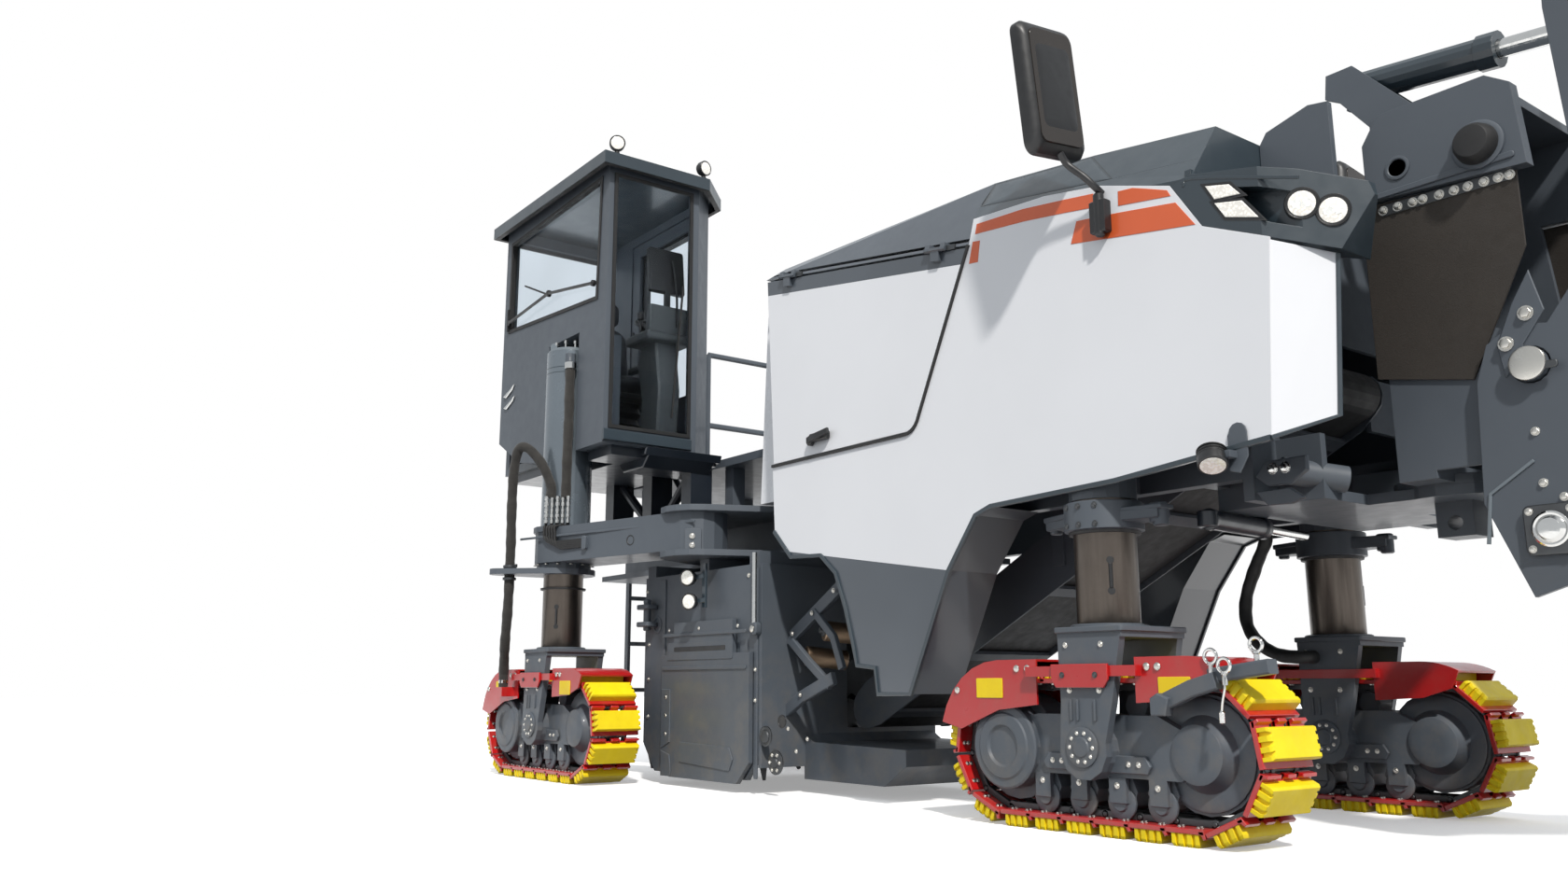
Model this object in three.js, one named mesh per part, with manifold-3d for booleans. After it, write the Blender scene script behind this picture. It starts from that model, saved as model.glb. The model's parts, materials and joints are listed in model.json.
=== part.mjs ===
// Cold planer milling machine with four crawlers on lifting columns, a milling drum between
// the axles, a front loading conveyor and a cabin at the rear right corner.
// Millimetres, +Z up, +X forward, +Y left. Everything is laid out in a working frame whose
// origin lies on the ground between the two front columns, and the finished group is moved
// so that its origin is the middle of its box at ground level.

import * as THREE from 'three';
import Module from 'manifold-3d';
import { mergeVertices } from 'three/addons/utils/BufferGeometryUtils.js';
import { ConvexGeometry } from 'three/addons/geometries/ConvexGeometry.js';

const wasm = await Module();
wasm.setup();

// ---------------------------------------------------------------- driving dimensions

const SEAT = 0.3;                 // gap between two pieces that touch
const RUN = 6;                    // gap beside a piece that moves
const ROUND = 16;                 // sides of a round piece
const COLUMN_SIDES = 20;

const CRAWLER = {
  halfWheelbase: 395,             // idler and sprocket from the middle of a crawler
  pitchRadius: 215,               // chain line round the sprocket
  padHeight: 60,                  // chain line to the ground face of a pad
  padLength: 120,
  padCount: 21,
  width: 264,
  gapDepth: 26,                   // depth of the gap between two pads
  chainDepth: 25,                 // chain line to the inner face of the loop
};
const GAUGE_FRONT = 730;          // front columns from the middle plane
const REAR_LEFT = [-3350, 730];
const REAR_RIGHT = [-3400, -1130];

const FORK = { inner: 138, wall: 30, top: 677, plate: 35, back: -90, front: 180 };
const COLUMN = { radius: 107.5, bore: 110, frontTop: 1250, rearTop: 2316 };
const COLLAR = { radius: 137, bottom: 1010, top: 1110 };
const GUIDE_TUBE = { radius: 135, bottom: 1200, top: 2336, flange: 172, flangeBottom: 1080 };

const SIDE = 860;                 // outer face of the body sides from the middle plane
const SKIN = 8;                   // thickness of the body skins
const DOOR_WALL = 25;
const DOOR_SWING_GAP = 10;
const LEG_INNER = 600;            // inner face of the hollow body legs

const DRUM = { x: -2440, z: 510, body: 400, radius: 490, right: -810, left: 190, shaft: 120 };
const HOUSING = { wall: 25, side: 15, room: 20, bottom: 60, top: 1050 };
const FRAME = { low: 1110, plate: 30, high: 1360, rear: -3950, front: -1700, half: 600 };
const RAIL = { inner: 540, outer: 600, low: 1150, high: 1350, front: 480 };

const PICKUP = { y: -80, half: 255, tail: [-1775, 382], head: [478, 1529], depth: 110, belt: 88 };
const SLEW = { x: 900, ring: 215, low: 1110, neck: 200, plate: 35 };
const HOOK = { x: 1274, z: 1406, pin: 50 };
const BOOM = {
  tail: [1282, 913],              // middle of the tail pulley
  angle: 36.5,                    // upward slope in degrees
  length: 6990,                   // pulley to pulley
  half: 330,
  wall: 14,
  depth: 130,
  pulley: 112,
  belt: 12,
};
const LIFT = { anchor: [640, 2640], eye: [1480, 2540], barrel: 55, rod: 32, share: 0.62 };

const CABIN = {
  front: -2900, rear: -4250, right: -1180, left: -420, cut: 180, wall: 50,
  low: 1750, floor: 50, high: 3330, roof: 60, brim: 70,
};
const DECK = { low: 1700, top: 1745, rear: -4200, front: -2150, right: -395, left: 850 };

// Hose routes, each from its upper end to its lower end.
const HOSE = { radius: 27, sides: 10, blockLow: 1340, blockTop: 1495, clamp: 2250 };
const HOSE_PORT = { x: -300, reach: 72, top: 480 };
const LOBE = [-3530, -1440, 62];
const SLEEVE_STRAIGHT = [
  [-3255, -1205, 2249.7], [-3255, -1205, 2100], [-3252, -1206, 1900], [-3254, -1206, 1700],
  [-3255, -1205, 1600], [-3255, -1205, 1494],
];
const SLEEVE_ARCHED = [
  [-3313, -1268, 1494], [-3313, -1268, 1560], [-3345, -1312, 1680], [-3398, -1372, 1768],
  [-3452, -1402, 1768], [-3482, -1410, 1680], [-3496, -1410, 1560], [-3506, -1405, 1400],
  [-3510, -1400, 1250], [-3510, -1400, 1110.3],
];
const SLEEVE_CRAWLER = [
  [-3510, -1400, 1079.7], [-3510, -1400, 990], [-3535, -1392, 860], [-3580, -1378, 730],
  [-3650, -1348, 635], [-3694, -1328, 570], [-3700, -1325, 530], [-3700, -1325, 480.3],
];
const HOSE_FRONT = [
  [-200, 570, 1149.7], [-200, 570, 1090], [-268, 588, 985], [-325, 592, 860], [-318, 572, 745],
  [-245, 538, 660], [-145, 512, 612], [-62, 506, 600], [-25, 522, 600], [-20, 545, 600],
  [-20, 561.7, 600],
];

const MIRROR = { x: 175, z: 2106, reach: 145, low: 2311, high: 2808 };

// ---------------------------------------------------------------- colours

const PAINT = {
  white: { color: 0xe9ebec, roughness: 0.4, metalness: 0.0 },
  grey: { color: 0x5d656c, roughness: 0.5, metalness: 0.1 },
  dark: { color: 0x2c3a41, roughness: 0.45, metalness: 0.1 },
  red: { color: 0xb51c1a, roughness: 0.4, metalness: 0.1 },
  yellow: { color: 0xf5dc1c, roughness: 0.55, metalness: 0.0 },
  steel: { color: 0x8c8780, roughness: 0.35, metalness: 0.9 },
  iron: { color: 0x3c4043, roughness: 0.6, metalness: 0.5 },
  rubber: { color: 0x1d1b19, roughness: 0.8, metalness: 0.0 },
  glass: { color: 0x26323c, roughness: 0.08, metalness: 0.0 },
  cloth: { color: 0x2b2d30, roughness: 0.9, metalness: 0.0 },
};

// ---------------------------------------------------------------- solids

const group = new THREE.Group();
const machine = new THREE.Group();
group.add(machine);

function solidOf(geometry) {
  const bare = geometry.index ? geometry.toNonIndexed() : geometry.clone();
  bare.deleteAttribute('normal');
  bare.deleteAttribute('uv');
  const merged = mergeVertices(bare, 1e-3);
  return new wasm.Manifold(new wasm.Mesh({
    numProp: 3,
    vertProperties: new Float32Array(merged.attributes.position.array),
    triVerts: new Uint32Array(merged.index.array),
  }));
}

function geometryOf(solid) {
  const mesh = solid.getMesh();
  const geometry = new THREE.BufferGeometry();
  geometry.setAttribute('position', new THREE.BufferAttribute(mesh.vertProperties, 3));
  geometry.setIndex(new THREE.BufferAttribute(mesh.triVerts, 1));
  return geometry;
}

function join(...solids) {
  return solids.reduce((whole, next) => whole.add(next));
}

function addPiece(name, solid, paint) {
  const material = new THREE.MeshStandardMaterial({ ...PAINT[paint], name: paint });
  const mesh = new THREE.Mesh(geometryOf(solid), material);
  mesh.name = name;
  machine.add(mesh);
}

function box(x0, x1, y0, y1, z0, z1) {
  const geometry = new THREE.BoxGeometry(x1 - x0, y1 - y0, z1 - z0);
  geometry.translate((x0 + x1) / 2, (y0 + y1) / 2, (z0 + z1) / 2);
  return solidOf(geometry);
}

function hullOf(points) {
  return solidOf(new ConvexGeometry(points.map((point) => new THREE.Vector3(...point))));
}

function shapeOf(outline) {
  return new THREE.Shape(outline.map(([a, b]) => new THREE.Vector2(a, b)));
}

// An outline in X and Z, from y0 to y1.
function sidePlate(outline, y0, y1) {
  const geometry = new THREE.ExtrudeGeometry(shapeOf(outline), {
    depth: y1 - y0, bevelEnabled: false,
  });
  geometry.rotateX(Math.PI / 2).translate(0, y1, 0);
  return solidOf(geometry);
}

// An outline in X and Y, from z0 to z1.
function floorPlate(outline, z0, z1) {
  const geometry = new THREE.ExtrudeGeometry(shapeOf(outline), {
    depth: z1 - z0, bevelEnabled: false,
  });
  geometry.translate(0, 0, z0);
  return solidOf(geometry);
}

// An outline in Y and Z, from x0 to x1.
function crossPlate(outline, x0, x1) {
  const geometry = new THREE.ExtrudeGeometry(shapeOf(outline), {
    depth: x1 - x0, bevelEnabled: false,
  });
  geometry.rotateX(Math.PI / 2).rotateZ(Math.PI / 2).translate(x0, 0, 0);
  return solidOf(geometry);
}

function rodBetween(start, end, radius, sides = ROUND, endRadius = radius) {
  const from = new THREE.Vector3(...start);
  const to = new THREE.Vector3(...end);
  const along = to.clone().sub(from);
  const geometry = new THREE.CylinderGeometry(endRadius, radius, along.length(), sides);
  const turn = new THREE.Quaternion().setFromUnitVectors(
    new THREE.Vector3(0, 1, 0), along.clone().normalize());
  geometry.applyQuaternion(turn);
  geometry.translate(...from.add(to).multiplyScalar(0.5).toArray());
  return solidOf(geometry);
}

const upright = (x, y, radius, z0, z1, sides) => rodBetween([x, y, z0], [x, y, z1], radius, sides);
const across = (x, z, radius, y0, y1, sides) => rodBetween([x, y0, z], [x, y1, z], radius, sides);

function tube(points, radius, sides, steps) {
  const path = new THREE.CatmullRomCurve3(points.map((point) => new THREE.Vector3(...point)));
  const section = new THREE.Shape();
  section.absarc(0, 0, radius, 0, 2 * Math.PI);
  const geometry = new THREE.ExtrudeGeometry(section, {
    steps, curveSegments: sides, extrudePath: path, bevelEnabled: false,
  });
  return solidOf(geometry);
}

// Moves every edge of a closed outline inwards by a distance.
function inset(outline, distance) {
  const area = outline.reduce((sum, [x, z], i) => {
    const [u, w] = outline[(i + 1) % outline.length];
    return sum + x * w - u * z;
  }, 0);
  const sign = Math.sign(area) * distance;
  return outline.map((corner, i) => {
    const before = outline[(i + outline.length - 1) % outline.length];
    const after = outline[(i + 1) % outline.length];
    const one = new THREE.Vector2(corner[0] - before[0], corner[1] - before[1]).normalize();
    const two = new THREE.Vector2(after[0] - corner[0], after[1] - corner[1]).normalize();
    const normalOne = new THREE.Vector2(-one.y, one.x);
    const normalTwo = new THREE.Vector2(-two.y, two.x);
    const scale = sign / (1 + normalOne.dot(normalTwo));
    return [
      corner[0] + (normalOne.x + normalTwo.x) * scale,
      corner[1] + (normalOne.y + normalTwo.y) * scale,
    ];
  });
}

// Points of an arc, for outlines; angles in degrees.
function arc(x, z, radius, from, to, steps = 6) {
  return Array.from({ length: steps + 1 }, (_, i) => {
    const angle = THREE.MathUtils.degToRad(from + ((to - from) * i) / steps);
    return [x + radius * Math.cos(angle), z + radius * Math.sin(angle)];
  });
}

// The outline of a plate that wraps round pins [x, y, radius], as the hull of their circles.
function wrapPlate(pins, z0, z1) {
  const rim = pins.flatMap(([x, y, radius]) => arc(x, y, radius, 0, 337.5, 15));
  return hullOf(rim.flatMap(([x, y]) => [[x, y, z0], [x, y, z1]]));
}

const mirrorY = (solid) => solid.mirror([0, 1, 0]);

// ---------------------------------------------------------------- crawlers

const AXLE_Z = CRAWLER.pitchRadius + CRAWLER.padHeight;
const LOOP_STEPS = 9;              // sides of each round end inside a loop
const LOOP_HOLE = CRAWLER.pitchRadius - CRAWLER.chainDepth;
const WHEEL = LOOP_HOLE * Math.cos(Math.PI / 2 / LOOP_STEPS) - SEAT;
const WHEEL_WIDTH = 55;

// A point on the chain line at a distance along it, with its outward normal.
function onChain(distance) {
  const straight = 2 * CRAWLER.halfWheelbase;
  const bend = Math.PI * CRAWLER.pitchRadius;
  const lap = 2 * (straight + bend);
  let s = ((distance % lap) + lap) % lap;
  const half = CRAWLER.halfWheelbase;
  const radius = CRAWLER.pitchRadius;
  if (s < straight) return [-half + s, -radius, 0, -1];
  s -= straight;
  if (s < bend) {
    const angle = s / radius - Math.PI / 2;
    return [half + radius * Math.cos(angle), radius * Math.sin(angle), Math.cos(angle), Math.sin(angle)];
  }
  s -= bend;
  if (s < straight) return [half - s, radius, 0, 1];
  const angle = (s - straight) / radius + Math.PI / 2;
  return [-half + radius * Math.cos(angle), radius * Math.sin(angle), Math.cos(angle), Math.sin(angle)];
}

function trackLoop() {
  const lap = 2 * (2 * CRAWLER.halfWheelbase + Math.PI * CRAWLER.pitchRadius);
  const pitch = lap / CRAWLER.padCount;
  const outer = [];
  for (let i = 0; i < CRAWLER.padCount; i += 1) {
    const [x, z, nx, nz] = onChain(CRAWLER.halfWheelbase + (i + 0.5) * pitch);
    const corner = (along, out) => [x - nz * along + nx * out, AXLE_Z + z + nx * along + nz * out];
    const half = CRAWLER.padLength / 2;
    const foot = CRAWLER.padHeight - CRAWLER.gapDepth;
    outer.push(corner(-half, foot), corner(-half, CRAWLER.padHeight));
    outer.push(corner(half, CRAWLER.padHeight), corner(half, foot));
  }
  const reach = CRAWLER.halfWheelbase;
  const inner = [...arc(reach, AXLE_Z, LOOP_HOLE, -90, 90, LOOP_STEPS),
    ...arc(-reach, AXLE_Z, LOOP_HOLE, 90, 270, LOOP_STEPS)];
  const half = CRAWLER.width / 2;
  return sidePlate(outer, -half, half).subtract(sidePlate(inner, -half - 1, half + 1));
}

function crawlerFrame() {
  const floor = AXLE_Z - CRAWLER.pitchRadius + CRAWLER.chainDepth;
  const ceiling = AXLE_Z + CRAWLER.pitchRadius - CRAWLER.chainDepth;
  const reach = CRAWLER.halfWheelbase;
  const parts = [
    across(reach, AXLE_Z, WHEEL, -WHEEL_WIDTH, WHEEL_WIDTH, 20),
    across(-reach, AXLE_Z, WHEEL, -WHEEL_WIDTH, WHEEL_WIDTH, 20),
    across(-reach, AXLE_Z, 150, -118, 118),
    across(reach, AXLE_Z, 60, -112, 112),
    across(0, AXLE_Z, 95, -FORK.inner - 1, FORK.inner + 1),
    sidePlate([[-330, 190], [330, 190], [reach, 235], [reach, 320], [250, 390], [-250, 390],
      [-reach, 360], [-reach, 200]], -100, 100),
  ];
  for (const x of [-240, -80, 80, 240]) parts.push(across(x, floor + 60 + SEAT, 60, -75, 75, 8));
  for (const x of [-130, 130]) parts.push(across(x, ceiling - 45 - SEAT, 45, -45, 45, 8));
  return join(...parts);
}

function fork() {
  const { inner, wall, top, plate, back, front } = FORK;
  const cheek = [[back, top], [back + 5, 430], [-95, 300], ...arc(0, AXLE_Z, 98, 190, 350, 5),
    [95, 300], [130, 430], [front, top]];
  return join(
    box(back, front, -inner - wall, inner + wall, top - plate, top),
    sidePlate(cheek, inner, inner + wall),
    sidePlate(cheek, -inner - wall, -inner),
  );
}

function guard(port) {
  const half = 148;
  const skin = 8;
  const centre = CRAWLER.halfWheelbase;
  const outer = CRAWLER.pitchRadius + CRAWLER.padHeight + 18;
  const cover = (radius, from) => [
    ...arc(-centre, AXLE_Z, radius, from, 90, 6), [-210, AXLE_Z + radius],
  ];
  const rear = [...cover(outer + skin, 165), [-210, 420], [-centre, 400], [-centre - 190, 330]];
  const room = [...cover(outer, 165), [-209, 300], [-centre - 300, 250]];
  const turned = (outline) => outline.map(([x, z]) => [-x, z]).reverse();
  const front = turned([...cover(outer + skin, 118), [-210, 430], [-centre, 440], [-centre - 110, 475]]);
  const frontRoom = turned(room);
  const cut = half - skin;
  const rearGuard = sidePlate(rear, -half, half).subtract(sidePlate(room, -cut, cut));
  const frontGuard = sidePlate(front, -half, half).subtract(sidePlate(frontRoom, -cut, cut));
  const edge = FORK.inner + FORK.wall + SEAT;
  const strap = join(
    box(-235, 235, edge, edge + skin, 515, 550),
    box(-235, -205, cut, edge + 1, 515, 550),
    box(205, 235, cut, edge + 1, 515, 550),
  );
  const parts = [rearGuard, frontGuard, strap, mirrorY(strap)];
  if (port) {
    parts.push(box(port.x - 40, port.x + 40, -half - port.reach, 1 - half, port.top - 50, port.top));
  }
  return join(...parts);
}

function column(top, lever) {
  const parts = [upright(0, 0, COLUMN.radius, FORK.top + SEAT, top - SEAT, COLUMN_SIDES)];
  if (lever) {
    parts.push(upright(0, 0, COLLAR.radius, COLLAR.bottom, COLLAR.top));
    parts.push(box(90, 250, -45, 45, 1035, 1065));
    parts.push(box(-240, -90, -40, 40, 1035, 1065));
  }
  return join(...parts);
}

const corners = [
  { tag: 'front_right', x: 0, y: -GAUGE_FRONT, top: COLUMN.frontTop, lever: true },
  { tag: 'front_left', x: 0, y: GAUGE_FRONT, top: COLUMN.frontTop, lever: true },
  { tag: 'rear_right', x: REAR_RIGHT[0], y: REAR_RIGHT[1], top: COLUMN.rearTop, lever: false },
  { tag: 'rear_left', x: REAR_LEFT[0], y: REAR_LEFT[1], top: COLUMN.rearTop, lever: false },
];
for (const { tag, x, y, top, lever } of corners) {
  const place = (solid) => solid.translate([x, y, 0]);
  addPiece(`track_${tag}`, place(trackLoop()), 'yellow');
  addPiece(`crawler_frame_${tag}`, place(join(crawlerFrame(), fork())), 'grey');
  addPiece(`column_${tag}`, place(column(top, lever)), 'steel');
  addPiece(`track_guard_${tag}`, place(guard(tag === 'rear_right' ? HOSE_PORT : null)), 'red');
}

// ---------------------------------------------------------------- main frame

const FRAME_INNER_TOP = FRAME.high - FRAME.plate;
const PIVOT = [-2420, -880];

function guideTube([x, y], bottom, flangeBottom) {
  const { radius, top, flange } = GUIDE_TUBE;
  return join(
    upright(x, y, radius, bottom, top),
    upright(x, y, flange, flangeBottom, flangeBottom + 30),
    upright(x, y, flange, bottom - 30, bottom),
    upright(x, y, radius + 12, flangeBottom, bottom),
  );
}

function columnBore([x, y], from, top) {
  return upright(x, y, COLUMN.bore + 1, from, top, COLUMN_SIDES);
}

function deckPlates(z0) {
  const { rear, front, half, plate } = FRAME;
  const z1 = z0 + plate;
  return join(
    floorPlate([[rear, -half], [front, -half], [front, half], [rear, half]], z0, z1),
    wrapPlate([[PIVOT[0], PIVOT[1], 190], [-2700, -500, 90], [-2150, -500, 90]], z0, z1),
    wrapPlate([[REAR_LEFT[0], REAR_LEFT[1], 172], [-3600, 500, 80], [-3100, 500, 80]], z0, z1),
  );
}

function mainFrame() {
  const { low, plate, rear, front, high } = FRAME;
  const { inner, outer } = RAIL;
  const slewLow = SLEW.low - SLEW.plate;
  const sides = [];
  for (const sign of [-1, 1]) {
    const y = (a, b) => (sign < 0 ? [-b, -a] : [a, b]);
    const [rail0, rail1] = y(inner, outer);
    const [skin0, skin1] = y(outer - 1, SIDE - SKIN - SEAT);
    sides.push(
      box(front - 60, RAIL.front, rail0, rail1, RAIL.low, RAIL.high),
      box(-1640, -1540, skin0, skin1, 1200, 1300),
      box(-1000, -900, skin0, skin1, 1200, 1300),
      box(380, 470, skin0, skin1, 1220, 1320),
      upright(0, sign * GAUGE_FRONT, COLUMN.radius + 10.5, 1118, COLUMN.frontTop + 25),
      box(-60, 60, ...y(outer - 1, GAUGE_FRONT - 60), RAIL.low, COLUMN.frontTop + 25),
      box(280, 670, ...y(430, 460), slewLow, 1290),
      box(280, 330, ...y(430, outer - 1), RAIL.low, 1290),
      box(470, 510, ...y(430, outer), slewLow, 1700),
    );
  }
  const frame = join(
    deckPlates(low),
    deckPlates(FRAME_INNER_TOP),
    box(front - 40, front, -540, 540, low, high),
    box(rear, rear + 40, -240, 240, low, high),
    box(rear, front, -440, -400, low, high),
    box(rear, front, 400, 440, low, high),
    guideTube(REAR_LEFT, 1400, 1080),
    box(-1300, -1200, -outer, outer, RAIL.high - 1, 1450),
    box(-600, -500, -outer, outer, RAIL.high - 1, 1450),
    box(280, 670, -460, 460, slewLow, SLEW.low),
    box(660, SLEW.x, -SLEW.neck, SLEW.neck, slewLow, SLEW.low),
    upright(SLEW.x, 0, SLEW.ring, slewLow, SLEW.low, 24),
    box(490, 510, -555, 555, 1700, 2100),
    box(490, 510, PICKUP.y + PICKUP.half + SEAT, 440, 1400, 1600),
    box(490, 510, -440, PICKUP.y - PICKUP.half - SEAT, 1400, 1600),
    box(-580, -520, PICKUP.y + PICKUP.half + SEAT, PICKUP.y + PICKUP.half + 12, 960, RAIL.high + 5),
    box(-580, -520, PICKUP.y - PICKUP.half - 12, PICKUP.y - PICKUP.half - SEAT, 960, RAIL.high + 5),
    box(820, 940, -60, 60, 960, slewLow + 1),
    ...sides,
  );
  const gusset = [[505, 1960], [790, 2060], [790, 2407], [720, 2420], [560, 2380], [532, 2340], [532, 2105],
    [505, 2090]];
  const bores = [
    columnBore(REAR_LEFT, 1000, COLUMN.rearTop),
    columnBore([0, -GAUGE_FRONT], 1000, COLUMN.frontTop),
    columnBore([0, GAUGE_FRONT], 1000, COLUMN.frontTop),
    across(880, 1005, 24, -70, 70, 16),
  ];
  const whole = join(frame, sidePlate(gusset, 420, 445), sidePlate(gusset, -445, -420));
  return bores.reduce((solid, bore) => solid.subtract(bore), whole);
}
addPiece('main_frame', mainFrame(), 'grey');

function swingArm() {
  const arm = wrapPlate([[...PIVOT, 150], [...REAR_RIGHT, 160]], FRAME.low + FRAME.plate + SEAT,
    FRAME_INNER_TOP - SEAT);
  const [x, y] = SLEEVE_STRAIGHT[0];
  const flangeBottom = GUIDE_TUBE.flangeBottom;
  return join(
    arm,
    guideTube(REAR_RIGHT, GUIDE_TUBE.bottom + 140, flangeBottom),
    wrapPlate([[...REAR_RIGHT, GUIDE_TUBE.flange], LOBE], flangeBottom, flangeBottom + 30),
    rodBetween([...REAR_RIGHT, HOSE.clamp + 25], [x, y, HOSE.clamp + 25], 25, 10),
    upright(x, y, 30, HOSE.clamp, HOSE.clamp + 50, 10),
  ).subtract(columnBore(REAR_RIGHT, 1000, COLUMN.rearTop));
}
addPiece('swing_arm', swingArm(), 'grey');

// ---------------------------------------------------------------- milling drum and its housing

const HOUSING_X = [DRUM.x - DRUM.radius - HOUSING.room - HOUSING.wall,
  DRUM.x + DRUM.radius + HOUSING.room + HOUSING.wall];
const HOUSING_Y = [DRUM.right - HOUSING.side - HOUSING.wall, DRUM.left + HOUSING.side + HOUSING.wall];
const MOTOR_BOSS = 130;
const EDGE_LIFT = 200;              // travel of the edge plates
const SCRAPER_AXIS = [HOUSING_X[0] + 14, 1008];

function drumHousing() {
  const [x0, x1] = HOUSING_X;
  const [y0, y1] = HOUSING_Y;
  const { wall, bottom, top } = HOUSING;
  const outline = [[x0, 200], [x0 + 120, bottom], [x1 - 120, bottom], [x1, 200], [x1, top], [x0, top]];
  const feedLow = 290;
  const feedTop = 760;
  const front = box(x1 - wall, x1, y0, y1, 120, top).subtract(box(x1 - wall - 1, x1 + 1,
    PICKUP.y - PICKUP.half - 10, PICKUP.y + PICKUP.half + 10, feedLow, feedTop));
  const shoe = [[x1 - 5, 62], [x1 + 560, 62], [x1 + 700, 150], [x1 + 700, 220], [x1 + 60, 230],
    [x1 - 5, 270]];
  const spacer = (x) => box(x, x + 80, y0, y1, top - 1, FRAME.low - SEAT);
  const boss = (y, out) => across(DRUM.x, DRUM.z, MOTOR_BOSS, y, out);
  return join(
    sidePlate(outline, y0, y0 + wall),
    sidePlate(outline, y1 - wall, y1),
    box(x0, x1, y0, y1, top - wall, top),
    front,
    sidePlate(shoe, y0 + 250, y1 - 20),
    spacer(x0 + 20), spacer(x1 - 100), spacer(DRUM.x),
    boss(y1 - 1, y1 + 60),
    ...[x0 + 260, x1 - 170].flatMap((x) => [
      box(x, x + 60, y0 - RUN + SEAT, y0 + 1, 300, 700),
      box(x, x + 60, y1 - 1, y1 + RUN - SEAT, 300, 700),
    ]),
  );
}
addPiece('drum_housing', drumHousing(), 'grey');

function millingDrum() {
  const { x, z, body, radius, right, left, shaft } = DRUM;
  const parts = [
    across(x, z, body, right, left, 24),
    across(x, z, shaft, HOUSING_Y[0] + HOUSING.wall + SEAT, HOUSING_Y[1] - HOUSING.wall - SEAT, 12),
  ];
  const rows = 14;
  const tools = 2;
  for (let row = 0; row < rows; row += 1) {
    const y = right + 30 + ((left - right - 60) * row) / (rows - 1);
    for (let tool = 0; tool < tools; tool += 1) {
      const angle = (2 * Math.PI * tool) / tools + row * 0.42 * (row < rows / 2 ? 1 : -1);
      const point = (out) => [x + out * Math.cos(angle), y, z + out * Math.sin(angle)];
      parts.push(rodBetween(point(body - 20), point(radius), 30, 4, 9));
    }
  }
  return join(...parts);
}
addPiece('milling_drum', millingDrum(), 'iron');

function scraper() {
  const [ax, az] = SCRAPER_AXIS;
  const y0 = HOUSING_Y[0] + HOUSING.wall;
  const y1 = HOUSING_Y[1] - HOUSING.wall;
  const blade = [[ax - 12, az], [ax - 12, 130], [ax + 20, 66], [ax + 34, 66], [ax + 12, 140],
    [ax + 12, az]];
  return join(
    sidePlate(blade, y0 + RUN, y1 - RUN),
    across(ax, az, 13, y0 + SEAT, y1 - SEAT, 16),
  );
}
addPiece('rear_scraper', scraper(), 'grey');

function edgePlate(y0, y1) {
  const [x0, x1] = HOUSING_X;
  const outline = [[x0 + 225, 150], [x0 + 310, 42], [x1 - 160, 42], [x1 - 60, 140], [x1 - 60, 640],
    [x1 - 200, 640], [x1 - 200, 800], [x0 + 340, 800], [x0 + 340, 640], [x0 + 225, 640]];
  return sidePlate(outline, y0, y1);
}

function motorSlot(y0, y1) {
  const radius = MOTOR_BOSS + 15;
  const slot = [...arc(DRUM.x, DRUM.z, radius, 0, 180, 8),
    ...arc(DRUM.x, DRUM.z - EDGE_LIFT, radius, 180, 360, 8)];
  return sidePlate(slot, y0 - 1, y1 + 1);
}
const EDGE_PLATE = 24;
addPiece('edge_plate_right', edgePlate(HOUSING_Y[0] - RUN - EDGE_PLATE, HOUSING_Y[0] - RUN), 'grey');
const LEFT_PLATE = [HOUSING_Y[1] + RUN, HOUSING_Y[1] + RUN + EDGE_PLATE];
addPiece('edge_plate_left', edgePlate(...LEFT_PLATE).subtract(motorSlot(...LEFT_PLATE)), 'grey');

// ---------------------------------------------------------------- body

const DOOR_TOP = [[-1862, 2418], [-488, 2190]];

// The side seen flat: the deep leg in front of the drum, the arch over the front crawler and
// the edge along which the top covers sit.
const SIDE_OUTLINE = [
  [-1790, 1184], [-1659, 1055], [-1443, 1045], [-1339, 961], [-1274, 809], [-1220, 640],
  [-1201, 568], [-1086, 557], [-1070, 452], [-878, 453], [-646, 920], [-494, 1116],
  [-415, 1141], [160, 1160], [745, 1213], [790, 1835], [560, 1940], [448, 2117],
  [163, 2215], [-94, 2262], [-458, 2288], [-488, 2190], [-1862, 2418],
];
const LEG_OUTLINE = [
  [-1500, 1141], [-1443, 1045], [-1339, 961], [-1274, 809], [-1220, 640], [-1201, 568],
  [-1086, 557], [-1070, 452], [-878, 453], [-646, 920], [-494, 1116], [-415, 1141],
];
const DOOR_OPENING = [
  [-1900, 1492], [-880, 1492], ...arc(-880, 1577, 85, -80, -30, 3),
  [-488, 2190], [-480, 2330], [-1900, 2500],
];
const DOOR_OUTLINE = [
  [-1808, 1492], [-880, 1492], ...arc(-880, 1577, 85, -80, -30, 3), [-488, 2190], [-1862, 2418],
];

// Right-hand side; the left is its mirror image.
function sidePanel() {
  const wall = sidePlate(SIDE_OUTLINE, -SIDE, -SIDE + SKIN)
    .subtract(sidePlate(DOOR_OPENING, -SIDE - 1, -SIDE + SKIN + 1));
  const nose = hullOf([
    [745, -SIDE, 1213], [785, -SIDE, 1828], [737, -SIDE + SKIN, 1213], [777, -SIDE + SKIN, 1828],
    [880, -705, 1278], [920, -705, 1776], [872, -700, 1278], [912, -700, 1776],
  ]);
  const legRoom = inset(LEG_OUTLINE, SKIN).map(([x, z]) => [x, z > 1130 ? 1150 : z]);
  const leg = sidePlate(LEG_OUTLINE, -SIDE, -LEG_INNER)
    .subtract(sidePlate(legRoom, -SIDE + SKIN, -LEG_INNER - SKIN));
  return join(wall, nose, leg);
}

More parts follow.
